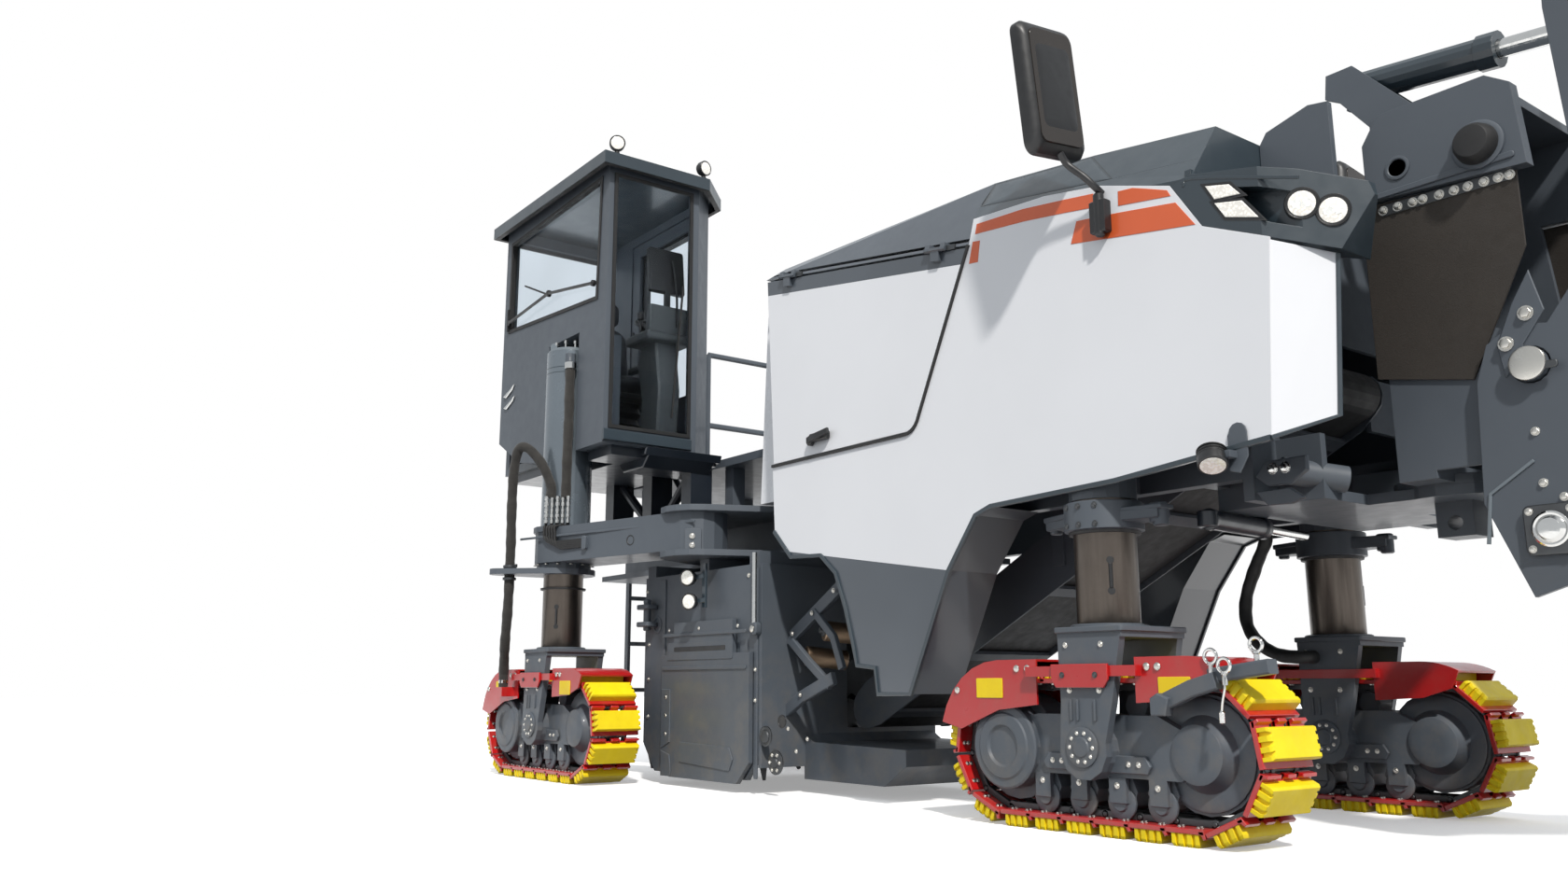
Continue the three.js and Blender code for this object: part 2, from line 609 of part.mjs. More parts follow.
const DOOR_SLOPE = Math.atan2(DOOR_TOP[1][1] - DOOR_TOP[0][1], DOOR_TOP[1][0] - DOOR_TOP[0][0]);
const HINGE_Y = -SIDE - 12;
const alongDoorTop = (distance) => [
  DOOR_TOP[0][0] + distance * Math.cos(DOOR_SLOPE),
  HINGE_Y,
  DOOR_TOP[0][1] + distance * Math.sin(DOOR_SLOPE),
];
const COVER_REAR = -489;            // where the hood ends and the front cover starts
const HINGES = [160, 1180];
const HINGE_LENGTH = 60;
const HINGE_RADIUS = 11;

function sideDoor() {
  const panel = sidePlate(inset(DOOR_OUTLINE, DOOR_SWING_GAP), -SIDE, -SIDE + DOOR_WALL);
  const knuckles = HINGES.map((start) => join(
    rodBetween(alongDoorTop(start), alongDoorTop(start + HINGE_LENGTH), HINGE_RADIUS, 6),
    hullOf([start + 5, start + HINGE_LENGTH - 5].flatMap((s) => {
      const [x, , z] = alongDoorTop(s);
      return [[x, HINGE_Y - 6, z - 4], [x, HINGE_Y + 6, z - 4], [x, HINGE_Y - 6, z - 50],
        [x, -SIDE + 4, z - 50], [x, -SIDE + 4, z - 14]];
    })),
  ));
  return join(panel, ...knuckles);
}

function hoodHinges() {
  return HINGES.flatMap((start) => [start - 30 - SEAT, start + HINGE_LENGTH + SEAT].map((from) => join(
    rodBetween(alongDoorTop(from), alongDoorTop(from + 30), HINGE_RADIUS, 6),
    hullOf([from + 3, from + 27].flatMap((s) => {
      const [x, , z] = alongDoorTop(s);
      return [[x, HINGE_Y - 6, z + 4], [x, HINGE_Y + 6, z + 4], [x, HINGE_Y, z + 26],
        [x, -SIDE + 50, z + 26]];
    })),
  )));
}

function hood() {
  const rearX = DOOR_TOP[0][0];
  const frontX = COVER_REAR - SEAT;
  const low = (x) => DOOR_TOP[0][1] + SEAT + (x - rearX) * Math.tan(DOOR_SLOPE);
  const ring = (x, grow, ridge, top) => [-1, 1].flatMap((sign) => [
    [x, sign * (SIDE - grow), low(x)], [x, sign * (ridge - grow), top - grow],
  ]);
  const body = (grow) => hullOf([
    ...ring(rearX + grow, grow, 745, 2500), ...ring(frontX - grow, grow, 700, 2488),
  ]);
  const under = hullOf([rearX - 1, frontX + 1].flatMap((x) => [-1, 1].flatMap((sign) => [
    [x, sign * (SIDE - SKIN), low(x) + 30], [x, sign * (SIDE - SKIN), low(x) - 200],
  ])));
  const aboveRoom = box(-3000, 0, -900, 900, 2470, 2600);
  const shell = body(0).subtract(body(SKIN).intersect(body(0).subtract(aboveRoom)));
  const lugs = hoodHinges();
  const room = box(rearX + SKIN, frontX - SKIN, -SIDE + SKIN, SIDE - SKIN, 0, 2470);
  const opened = shell.subtract(under.intersect(room));
  return join(opened, ...lugs, ...lugs.map(mirrorY));
}

function frontCover() {
  const base = [[-458, 2288], [-94, 2262], [163, 2215], [448, 2117]].map(([x, z]) => [x, z + SEAT]);
  const top = [[530, 2130], [530, 2345], [10, 2430], [COVER_REAR, 2488]];
  const outline = [...base, ...top, [COVER_REAR, 2380]];
  const ridge = 690;
  const block = sidePlate(outline, -SIDE, SIDE);
  const room = sidePlate(inset(outline, SKIN), -SIDE + 60, SIDE - 60);
  const opening = sidePlate(base.concat([[448, 2050], [-458, 2050]]).map(([x, z]) => [x, z + 12]),
    -SIDE + 60, SIDE - 60);
  const bevel = hullOf([
    [-600, -SIDE - 1, 2300], [600, -SIDE - 1, 2105], [-600, -ridge, 2520], [600, -ridge, 2345],
    [-600, -SIDE - 1, 2600], [600, -SIDE - 1, 2600], [-600, -ridge, 2600], [600, -ridge, 2600],
  ]);
  return block.subtract(room.subtract(bevel).subtract(mirrorY(bevel)).intersect(block))
    .subtract(opening).subtract(bevel).subtract(mirrorY(bevel));
}

// Cowl with the lamps at the front corner of the body.
function lampCowl() {
  const outline = [[448, 2117], [560, 1940], [790, 1835], [945, 1778], [1030, 1940], [1018, 1985],
    [860, 2050], [530, 2129.5]];
  const seated = inset(outline, SEAT);
  const wedge = floorPlate([[760, -SIDE - 5], [1100, -SIDE - 5], [1100, -600], [1040, -660], [930, -740]],
    1500, 2300);
  const lampRoom = sidePlate([[640, 1960], [790, 1885], [900, 1845], [940, 1940], [800, 1995], [660, 2040]],
    -SIDE - 5, -SIDE + 70);
  const innerCorner = floorPlate([[1100, -720], [1100, -500], [880, -500]], 1500, 2300);
  const tongue = box(505, 528, -SIDE + 5, -SIDE + 55, 2100, 2150);
  const cowl = sidePlate(seated, -SIDE, -560).subtract(wedge).subtract(innerCorner).subtract(lampRoom);
  return join(cowl, tongue);
}

addPiece('side_panel_right', sidePanel(), 'white');
addPiece('side_panel_left', mirrorY(sidePanel()), 'white');
addPiece('side_door_right', sideDoor(), 'white');
addPiece('side_door_left', mirrorY(sideDoor()), 'white');
addPiece('hood', hood(), 'dark');
addPiece('front_cover', join(frontCover(), lampCowl(), mirrorY(lampCowl())), 'dark');

addPiece('engine_block', box(-1450, -350, -420, 420, 1450 + SEAT, 2150), 'iron');

function rearCooler() {
  const outline = [[-2100, FRAME.high + SEAT], [-1875, FRAME.high + SEAT], [-1875, 2380], [-2040, 2300]];
  return join(sidePlate(outline, -720, 720));
}
addPiece('rear_cooler', rearCooler(), 'white');

// ---------------------------------------------------------------- pick-up conveyor

function pickupParts() {
  const [tx, tz] = PICKUP.tail;
  const [hx, hz] = PICKUP.head;
  const slope = Math.atan2(hz - tz, hx - tx);
  const length = Math.hypot(hx - tx, hz - tz);
  const turn = (solid) => solid.rotate([0, -THREE.MathUtils.radToDeg(slope), 0])
    .translate([tx, PICKUP.y, tz]);
  const { half, depth, belt } = PICKUP;
  const wall = 10;
  const plate = [...arc(0, 0, depth - 15, 100, 260, 6), [60, -depth], [length - 60, -depth],
    ...arc(length, 0, depth - 20, -80, 80, 6), [length - 60, depth], [60, depth]];
  const bars = [];
  for (let i = 0; i < 5; i += 1) {
    const s = 160 + (i * (length - 320)) / 4;
    bars.push(box(s - 30, s + 30, -half, half, -depth, -belt - 6));
  }
  const frame = join(
    sidePlate(plate, half - wall, half),
    sidePlate(plate, -half, -half + wall),
    across(0, 0, belt - 10 - 1.2, 1 - half, half - 1, 16),
    across(length, 0, belt - 10 - 1.2, 1 - half, half - 1, 16),
    ...bars,
  );
  const loop = (radius) => [...arc(0, 0, radius, 90, 270, 10), ...arc(length, 0, radius, -90, 90, 10)];
  const width = half - wall - 8;
  const band = sidePlate(loop(belt), -width, width)
    .subtract(sidePlate(loop(belt - 10), -width - 1, width + 1));
  return { frame: turn(frame), band: turn(band) };
}
const pickup = pickupParts();
addPiece('pickup_conveyor', pickup.frame, 'grey');
addPiece('pickup_belt', pickup.band, 'rubber');

// ---------------------------------------------------------------- slewing console and chute

const CHEEK = { inner: 298, outer: 316 };

function slewConsole() {
  const cheek = [[840, SLEW.low + 30], [1120, SLEW.low + 30], [1330, 1330], [1352, 1406], [1320, 1480],
    [1150, 1560], [1100, 2060], [840, 2060]];
  const upper = [[840, 2052], [1330, 2020], [1310, 2290], [1240, 2340], [900, 2340], [840, 2250]];
  const mast = [[820, 2330], [1010, 2330], [700, 2690], [600, 2690], [590, 2600], [640, 2570]];
  const pair = (outline, y0, y1) => join(sidePlate(outline, y0, y1), sidePlate(outline, -y1, -y0));
  const [ax, az] = LIFT.anchor;
  return join(
    upright(SLEW.x, 0, SLEW.ring, SLEW.low + SEAT, SLEW.low + 31, 24),
    box(SLEW.x - 60, SLEW.x + 60, -CHEEK.outer, CHEEK.outer, SLEW.low + 5, SLEW.low + 60),
    pair(cheek, CHEEK.inner, CHEEK.outer),
    pair(upper, CHEEK.inner, 345),
    box(840, 870, -320, 320, 2055, 2250),
    box(860, 1240, -320, 320, 2310, 2340),
    pair(mast, 64, 84),
    across(ax, az, 20, -70, 70, 16),
    across(HOOK.x, HOOK.z, HOOK.pin, CHEEK.inner + 1, 372),
    across(HOOK.x, HOOK.z, HOOK.pin, -372, -CHEEK.inner - 1),
    across(HOOK.x, HOOK.z, 78, CHEEK.outer - 1, BOOM.half - 1 - SEAT),
    across(HOOK.x, HOOK.z, 78, -BOOM.half + 1 + SEAT, 1 - CHEEK.outer),
  );
}
addPiece('slew_console', slewConsole(), 'grey');

function chuteSkirt() {
  const flank = [[808, 1460], [1102, 1400], [1290, 1776], [1290, 2016], [808, 2048]];
  const y = CHEEK.outer + SEAT;
  const thick = 7.5;
  return join(
    sidePlate(flank, -y - thick, -y),
    sidePlate(flank, y, y + thick),
    box(808, 820, -y - thick, y + thick, 1700, 2047),
  );
}
addPiece('chute_skirt', chuteSkirt(), 'rubber');

// ---------------------------------------------------------------- discharge conveyor

const onBoom = (solid) => solid.rotate([0, -BOOM.angle, 0]).translate([BOOM.tail[0], 0, BOOM.tail[1]]);

function dischargeFrame() {
  const { half, wall, depth, length, pulley } = BOOM;
  const channel = [[330, -depth], [length - 80, -depth], [length + 130, -40], [length + 130, 40],
    [length - 80, 110], [520, 110]];
  const pair = (outline, y0, y1) => join(sidePlate(outline, y0, y1), sidePlate(outline, -y1, -y0));
  const local = [
    pair(channel, half - wall, half),
    across(0, 0, pulley - BOOM.belt - 1, -half + 1, half - 1, 16),
    across(length, 0, pulley - BOOM.belt - 1, -half + 1, half - 1, 16),
  ];
  for (let s = 700; s < length - 200; s += 900) {
    local.push(box(s - 30, s + 30, -half + 1, half - 1, -depth, -depth + 12));
    local.push(box(s - 30, s + 30, -half + 1, half - 1, -60, -30));
  }
  const cheek = [[1158, 1490], [1120, 1380], [1102, 1014], [1212, 732], [1420, 800], [1760, 1130],
    [1830, 1420], [1700, 1640], [1560, 2560], [1430, 2590], [1425, 2480], [1470, 1700], [1330, 1520],
    [1240, 1540]];
  const hookHole = (y0, y1) => across(HOOK.x, HOOK.z, HOOK.pin + 6, y0, y1);
  const face = half - 1;
  const hooks = pair(cheek, face, face + 20)
    .subtract(hookHole(face - 5, face + 25)).subtract(hookHole(-face - 25, 5 - face));
  const [ex, ez] = LIFT.eye;
  const lug = [[ex - 45, ez + 45], [ex + 45, ez + 45], [ex + 60, ez - 90], [ex - 40, ez - 90]];
  return join(
    onBoom(join(...local)),
    hooks,
    box(1440, 1560, -face - 1, face + 1, ez - 110, ez - 75),
    pair(lug, 48, 68),
    across(ex, ez, 20, -60, 60, 16),
  );
}
addPiece('discharge_conveyor', dischargeFrame(), 'grey');

function dischargeBelt() {
  const { length, pulley, belt, half, wall } = BOOM;
  const loop = (radius) => [...arc(0, 0, radius, 90, 270, 8), ...arc(length, 0, radius, -90, 90, 8)];
  const width = half - wall - 30;
  return onBoom(sidePlate(loop(pulley), -width, width)
    .subtract(sidePlate(loop(pulley - belt), -width - 1, width + 1)));
}
addPiece('discharge_belt', dischargeBelt(), 'rubber');

// ---------------------------------------------------------------- lift cylinder

function liftCylinder() {
  const [ax, az] = LIFT.anchor;
  const [ex, ez] = LIFT.eye;
  const span = Math.hypot(ex - ax, ez - az);
  const at = (s) => [ax + ((ex - ax) * s) / span, 0, az + ((ez - az) * s) / span];
  const barrelEnd = span * LIFT.share;
  const { rod } = LIFT;
  const bore = rod + 1;
  const barrel = join(
    rodBetween(at(40), at(barrelEnd), LIFT.barrel),
    rodBetween(at(barrelEnd - 60), at(barrelEnd), LIFT.barrel + 8),
    across(ax, az, 42, SEAT - 64, 64 - SEAT),
  ).subtract(rodBetween(at(110), at(barrelEnd + 1), bore, 24))
    .subtract(across(ax, az, 22, -70, 70, 16));
  const eyeHole = 34;
  const rodPiece = join(
    rodBetween(at(200), at(span - 40), rod, 24),
    across(ex, ez, 52, -40, 40),
  ).subtract(across(ex, ez, eyeHole, -60, 60, 20));
  return { barrel, rodPiece };
}
const lift = liftCylinder();
addPiece('lift_cylinder_barrel', lift.barrel, 'dark');
addPiece('lift_cylinder_rod', lift.rodPiece, 'steel');

// ---------------------------------------------------------------- cabin

const cabinPlan = (grow) => [
  [CABIN.rear + grow, CABIN.right + grow], [CABIN.front - grow, CABIN.right + grow],
  [CABIN.front - grow, CABIN.left - CABIN.cut - grow * 0.41],
  [CABIN.front - CABIN.cut - grow * 0.41, CABIN.left - grow],
  [CABIN.rear + grow, CABIN.left - grow],
];
const NOTCH = { rear: -3590, front: -3210, inner: -945, top: 2420 };
const notchRoom = (grow) => box(NOTCH.rear - grow, NOTCH.front + grow, CABIN.right - 300,
  NOTCH.inner + grow, 1000, NOTCH.top + grow);

const WALL_TOP = CABIN.high - SEAT;
const FLOOR_TOP = CABIN.low + CABIN.floor;

function cabinFloor() {
  const plan = cabinPlan(CABIN.wall + SEAT);
  return floorPlate(plan, CABIN.low + SEAT, FLOOR_TOP).subtract(notchRoom(40 + SEAT));
}
addPiece('cabin_floor', cabinFloor(), 'dark');

const RIGHT_WINDOW = [[-4180, 2640], [-3000, 2560], [-2975, 3270], [-4180, 3230]];
const FRONT_WINDOW = [[-1150, 1830], [-640, 1830], [-640, 3270], [-1150, 3270]];
const REAR_WINDOW = [[-1120, 2450], [-480, 2450], [-480, 3260], [-1120, 3260]];
const DOOR_LEAF = { rear: -3900, front: -3140, low: FLOOR_TOP, high: 3270 };

function cabinWallRight() {
  const { right, rear, front, wall } = CABIN;
  const outline = [[rear, 1950], [rear + 300, 1790], [-3700, CABIN.low + SEAT],
    [front - wall - SEAT, CABIN.low + SEAT], [front - wall - SEAT, WALL_TOP], [rear, WALL_TOP]];
  const panel = sidePlate(outline, right, right + wall);
  const pocket = notchRoom(20).intersect(box(-5000, 0, right, 0, CABIN.low + SEAT, 3000))
    .subtract(notchRoom(0));
  return join(panel.subtract(notchRoom(0)), pocket)
    .subtract(sidePlate(RIGHT_WINDOW, right - 1, right + wall + 1));
}

function cabinWallFront() {
  const outer = floorPlate(cabinPlan(0), CABIN.low + SEAT, WALL_TOP);
  const inner = floorPlate(cabinPlan(CABIN.wall), CABIN.low, WALL_TOP + 1);
  const keep = box(CABIN.front - CABIN.cut - 50, CABIN.front + 1, CABIN.right - 1, CABIN.left + 1, 0, 4000)
    .subtract(box(-4000, CABIN.front - CABIN.wall, CABIN.right - 1, -700, 0, 4000));
  return outer.subtract(inner).intersect(keep)
    .subtract(crossPlate(FRONT_WINDOW, CABIN.front - CABIN.wall - 1, CABIN.front + 1));
}

function cabinWallLeft() {
  const { rear, front, cut, left, wall } = CABIN;
  const panel = box(rear + wall + SEAT, front - cut - 50 - SEAT, left - wall, left,
    CABIN.low + SEAT, WALL_TOP);
  const leaf = DOOR_LEAF;
  const lug = (z) => join(
    upright(leaf.rear, left + 12, 12, z, z + 40, 12),
    box(leaf.rear - 40, leaf.rear - 2, left - 1, left + 14, z, z + 40),
  );
  const opening = box(leaf.rear - RUN, leaf.front + RUN, left - wall - 1, left + 1,
    leaf.low, leaf.high + RUN);
  return join(panel.subtract(opening), lug(2100), lug(2900));
}

function cabinWallRear() {
  const { rear, right, left, wall } = CABIN;
  return box(rear, rear + wall, right + wall + SEAT, left, CABIN.low + SEAT, WALL_TOP)
    .subtract(crossPlate(REAR_WINDOW, rear - 1, rear + wall + 1));
}

function cabinDoor() {
  const { left, wall } = CABIN;
  const { rear, front, low, high } = DOOR_LEAF;
  const bottom = low + RUN;
  const window = [[rear + 90, bottom + 350], [front - 80, bottom + 350], [front - 80, high - 80],
    [rear + 90, high - 80]];
  const knuckle = (z) => join(
    upright(rear, left + 12, 12, z + 40 + SEAT, z + 90, 12),
    box(rear + 2, rear + 40, left - 1, left + 14, z + 40 + SEAT, z + 90),
  );
  return {
    leaf: join(box(rear, front, left - wall + 5, left, bottom, high)
      .subtract(sidePlate(window, left - wall, left + 1)), knuckle(2100), knuckle(2900)),
    window,
  };
}
const cabinDoorParts = cabinDoor();

function cabinRoof() {
  const { high, roof, brim } = CABIN;
  const plan = (grow) => cabinPlan(-grow);
  const top = hullOf([
    ...plan(brim).flatMap(([x, y]) => [[x, y, high], [x, y, high + 25]]),
    ...plan(brim - 110).map(([x, y]) => [x, y, high + roof]),
  ]);
  const lip = floorPlate(plan(brim), high - 45, high + 1)
    .subtract(floorPlate(plan(brim - 12), high - 50, high + 2));
  return join(top, lip);
}

const pane = (outline) => inset(outline, SEAT);
addPiece('cabin_wall_right', cabinWallRight(), 'grey');
addPiece('cabin_wall_front', cabinWallFront(), 'grey');
addPiece('cabin_wall_left', cabinWallLeft(), 'grey');
addPiece('cabin_wall_rear', cabinWallRear(), 'grey');
addPiece('cabin_door', cabinDoorParts.leaf, 'grey');
addPiece('cabin_roof', cabinRoof(), 'dark');
addPiece('glass_right', sidePlate(pane(RIGHT_WINDOW), CABIN.right + 18, CABIN.right + 26), 'glass');
addPiece('glass_front', crossPlate(pane(FRONT_WINDOW), CABIN.front - 26, CABIN.front - 18), 'glass');
addPiece('glass_rear', crossPlate(pane(REAR_WINDOW), CABIN.rear + 18, CABIN.rear + 26), 'glass');
addPiece('glass_door', sidePlate(pane(cabinDoorParts.window), CABIN.left - 26, CABIN.left - 18), 'glass');

function cabinMount() {
  const top = CABIN.low;
  const base = FRAME.high + SEAT;
  const plan = [[-4200, -1100], [-2950, -1100], [-2950, -430], [-4200, -430]];
  const posts = [-3900, -3440, -3010].map((x) => box(x - 50, x + 50, -590, -450, base, top - 49));
  const brace = (x0, x1) => rodBetween([x0, -520, base + 30], [x1, -520, top - 60], 28, 10);
  return join(
    floorPlate(plan, top - 50, top).subtract(notchRoom(0)),
    ...posts,
    box(-3950, -2960, -590, -450, base, base + 30),
    brace(-3400, -3050), brace(-3480, -3860),
  );
}
addPiece('cabin_mount', cabinMount(), 'grey');

function seat() {
  const y0 = -905;
  const y1 = -490;
  const cushion = [[-3880, 2180], [-3430, 2200], [-3420, 2270], [-3800, 2270], [-3850, 2880],
    [-3940, 2880], [-3950, 2200]];
  const stem = join(
    box(-3800, -3560, -800, -620, FLOOR_TOP + SEAT, 2100),
    box(-3860, -3470, -900, -520, 2100, 2200),
  );
  return join(sidePlate(cushion, y0, y1), stem);
}
addPiece('operator_seat', seat(), 'cloth');

function controlDesk() {
  const pedestal = [[-3080, FLOOR_TOP + SEAT], [-2990, FLOOR_TOP + SEAT], [-2975, 2420], [-3060, 2520],
    [-3110, 2480]];
  const ring = new THREE.TorusGeometry(150, 16, 6, 14);
  ring.rotateY(THREE.MathUtils.degToRad(65)).translate(-3175, -720, 2590);
  return join(
    sidePlate(pedestal, -800, -640),
    solidOf(ring),
    rodBetween([-3080, -720, 2490], [-3175, -720, 2590], 22, 12),
    rodBetween([-3175, -870, 2590], [-3175, -570, 2590], 12, 8),
    rodBetween([-3040, -670, 2380], [-3040, -680, 2760], 16, 8),
    hullOf([[-3060, -780, 2740], [-3060, -590, 2740], [-3020, -780, 2740], [-3020, -590, 2740],
      [-3040, -780, 2960], [-3040, -590, 2960], [-3010, -780, 2950], [-3010, -590, 2950]]),
  );
}
addPiece('control_desk', controlDesk(), 'dark');

// ---------------------------------------------------------------- operator deck, tank, mirrors

function deck() {
  const { low, top, rear, front, right, left } = DECK;
  const base = FRAME.high + SEAT;
  const plate = box(rear, front, right, left, low, top)
    .subtract(upright(...REAR_LEFT, GUIDE_TUBE.radius + 12, low - 1, top + 1));
  const tank = box(-2950, front, 300, 590, base, low + 1);
  const legs = [[-3900, -300], [-3900, 420], [-2950, -300]]
    .map(([x, y]) => box(x - 40, x + 40, y - 40, y + 40, base, low + 1));
  const rail = [];
  const gap = GUIDE_TUBE.radius + 60;
  const spans = [[rear + 20, REAR_LEFT[0] - gap], [REAR_LEFT[0] + gap, front - 20]];
  for (const x of spans.flat()) {
    rail.push(rodBetween([x, left - 20, top - 5], [x, left - 20, top + 1000], 20, 6));
  }
  for (const up of [500, 1000]) {
    for (const [from, to] of spans) {
      rail.push(rodBetween([from, left - 20, top + up], [to, left - 20, top + up], 20, 6));
    }
    rail.push(rodBetween([rear + 20, 300, top + up], [rear + 20, left - 20, top + up], 20, 6));
  }
  rail.push(rodBetween([rear + 20, 300, top - 5], [rear + 20, 300, top + 1000], 20, 6));
  const rungs = [];
  for (let z = 450; z < low; z += 290) rungs.push(box(rear - 60, rear - 20, -240, 240, z, z + 25));
  for (const y of [-260, 240]) rungs.push(box(rear - 60, rear - 20, y, y + 20, 430, top));
  rungs.push(box(rear - 22, rear + 1, -260, 260, low, top));
  return join(plate, tank, ...legs, ...rail, ...rungs);
}
addPiece('operator_deck', deck(), 'grey');

function mirror() {
  const { x, z, reach, low, high } = MIRROR;
  const arm = tube([[x, -SIDE - 18, z - 60], [x, -SIDE - 22, z + 60], [x - 30, -SIDE - 90, z + 130],
    [x - 100, -SIDE - reach + 5, z + 230], [x - 60, -SIDE - reach + 20, z + 330],
    [x - 60, -SIDE - reach + 20, high - 120]], 14, 3, 14);
  const foot = box(x - 35, x + 35, -SIDE - 24, -SIDE - SEAT, z - 90, z + 40);
  const head = hullOf([[x - 120, -SIDE - 300, low], [x - 120, -SIDE - 60, low], [x - 50, -SIDE - 280, low + 15],
    [x - 50, -SIDE - 80, low + 15], [x - 130, -SIDE - 310, high], [x - 130, -SIDE - 70, high],
    [x - 60, -SIDE - 290, high - 15], [x - 60, -SIDE - 90, high - 15]]);
  return join(arm, foot, head);
}
addPiece('mirror_right', mirror(), 'rubber');
addPiece('mirror_left', mirrorY(mirror()), 'rubber');

// ---------------------------------------------------------------- hoses

function hose(route) {
  return tube(route, HOSE.radius, HOSE.sides, route.length * 2 - 2);
}

// The two sleeves leave one block of fittings that sits against the guide tube.
function sleeves() {
  const ends = [SLEEVE_STRAIGHT.at(-1), SLEEVE_ARCHED[0]];
  const block = wrapPlate(ends.map(([x, y]) => [x, y, HOSE.radius + 7]), HOSE.blockLow + SEAT, HOSE.blockTop)
    .subtract(upright(...REAR_RIGHT, GUIDE_TUBE.radius + SEAT, 1000, 2000));
  return join(block, hose(SLEEVE_STRAIGHT), hose(SLEEVE_ARCHED));
}
addPiece('hose_rear_right', sleeves(), 'rubber');
addPiece('hose_crawler_rear_right', hose(SLEEVE_CRAWLER), 'rubber');
addPiece('hose_crawler_front_left', hose(HOSE_FRONT), 'rubber');

// ---------------------------------------------------------------- the shared origin

const bounds = new THREE.Box3().setFromObject(machine);
machine.position.set(-(bounds.min.x + bounds.max.x) / 2, -(bounds.min.y + bounds.max.y) / 2, -bounds.min.z);

export default group;
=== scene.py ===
"""Finished looks of a cold planer milling machine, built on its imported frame.

Sizes are millimetres in the machine's working layout: X forward from the front columns,
Y to the left from the middle plane, Z up from the ground. at() moves them to the frame.
"""

import json

import bmesh
import bpy
import numpy as np
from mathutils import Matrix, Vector


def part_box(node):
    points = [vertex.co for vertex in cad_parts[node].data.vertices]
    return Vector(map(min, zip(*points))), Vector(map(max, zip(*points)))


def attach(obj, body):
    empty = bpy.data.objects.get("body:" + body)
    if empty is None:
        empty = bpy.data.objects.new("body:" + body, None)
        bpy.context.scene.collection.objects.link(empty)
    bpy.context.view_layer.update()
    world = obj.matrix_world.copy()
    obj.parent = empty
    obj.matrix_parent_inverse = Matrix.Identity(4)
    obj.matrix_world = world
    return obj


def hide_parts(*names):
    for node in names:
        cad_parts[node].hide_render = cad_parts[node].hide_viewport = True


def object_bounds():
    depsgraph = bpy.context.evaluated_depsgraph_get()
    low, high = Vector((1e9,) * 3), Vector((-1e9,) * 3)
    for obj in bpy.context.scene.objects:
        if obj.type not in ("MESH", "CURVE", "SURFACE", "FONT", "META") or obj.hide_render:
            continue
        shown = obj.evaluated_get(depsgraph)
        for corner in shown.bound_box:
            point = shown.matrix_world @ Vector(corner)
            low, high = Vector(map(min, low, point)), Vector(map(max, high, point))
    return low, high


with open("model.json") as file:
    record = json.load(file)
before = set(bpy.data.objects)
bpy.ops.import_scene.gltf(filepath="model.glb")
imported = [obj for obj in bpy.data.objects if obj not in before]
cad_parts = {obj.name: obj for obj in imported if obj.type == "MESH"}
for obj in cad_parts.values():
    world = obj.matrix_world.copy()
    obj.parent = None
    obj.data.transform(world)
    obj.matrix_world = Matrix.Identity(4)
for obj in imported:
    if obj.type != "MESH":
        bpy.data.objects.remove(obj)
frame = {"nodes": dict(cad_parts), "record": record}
CAD_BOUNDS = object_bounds()
NODES = frame["nodes"]


def corners(*names):
    """Lowest and highest corner of several nodes together."""
    ends = np.array([[tuple(c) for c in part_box(n)] for n in names])
    return ends[:, 0].min(axis=0), ends[:, 1].max(axis=0)


FRONT_PAIR = corners("track_front_right", "track_front_left")
ORIGIN = (FRONT_PAIR[0] + FRONT_PAIR[1]) / 2 * [1, 1, 0]
MM = 0.001
TURN = 2 * np.pi
UP = (0, 0, 1)
RIGHT = (0, -1, 0)


def at(points):
    """Working millimetres to frame metres."""
    return np.asarray(points, float) * MM + ORIGIN


# ------------------------------------------------------------------ surfaces

def grid(points, wrap_u=False, wrap_v=False):
    """Quads between neighbours of a (u, v) grid of points; a wrapped side joins its last
    row to its first."""
    points = np.asarray(points, float)
    nu, nv = points.shape[:2]
    u, v = np.meshgrid(np.arange(nu if wrap_u else nu - 1), np.arange(nv if wrap_v else nv - 1),
                       indexing="ij")
    u, v = u.ravel(), v.ravel()
    u1, v1 = (u + 1) % nu, (v + 1) % nv
    quads = np.stack([u * nv + v, u1 * nv + v, u1 * nv + v1, u * nv + v1], axis=1)
    return points.reshape(-1, 3), quads.tolist()


def loft(rings, caps=True):
    """Skin over closed rings of equal count, one after another, each end closed by a face.
    Point (u, v) is point v of ring u."""
    rings = np.asarray(rings, float)
    nu, nv = rings.shape[:2]
    verts, faces = grid(rings, wrap_v=True)
    if caps:
        faces = faces + [list(range(nv))[::-1], [(nu - 1) * nv + i for i in range(nv)]]
    return verts, faces


def circle(count=16, phase=0.0):
    """Unit circle: (cos t, sin t) for equal steps of t."""
    t = np.arange(count) / count * TURN + phase
    return np.stack([np.cos(t), np.sin(t)], axis=1)


def around(axis):
    """Two unit vectors square to an axis."""
    axis = np.asarray(axis, float)
    axis = axis / np.linalg.norm(axis)
    guide = np.array([0, 0, 1.0]) if abs(axis[2]) < 0.9 else np.array([1.0, 0, 0])
    side = np.cross(guide, axis)
    side /= np.linalg.norm(side)
    return axis, side, np.cross(axis, side)


def turned(foot, axis, profile, sides=20, phase=0.0):
    """Lathe: ring u stands at profile[u] = (distance along the axis, radius) from foot."""
    axis, side, up = around(axis)
    profile = np.asarray(profile, float)
    round_ = circle(sides, phase)
    ring = round_[:, :1] * side + round_[:, 1:] * up
    rings = np.asarray(foot, float) + profile[:, :1, None] * axis + profile[:, 1:2, None] * ring
    return loft(rings)


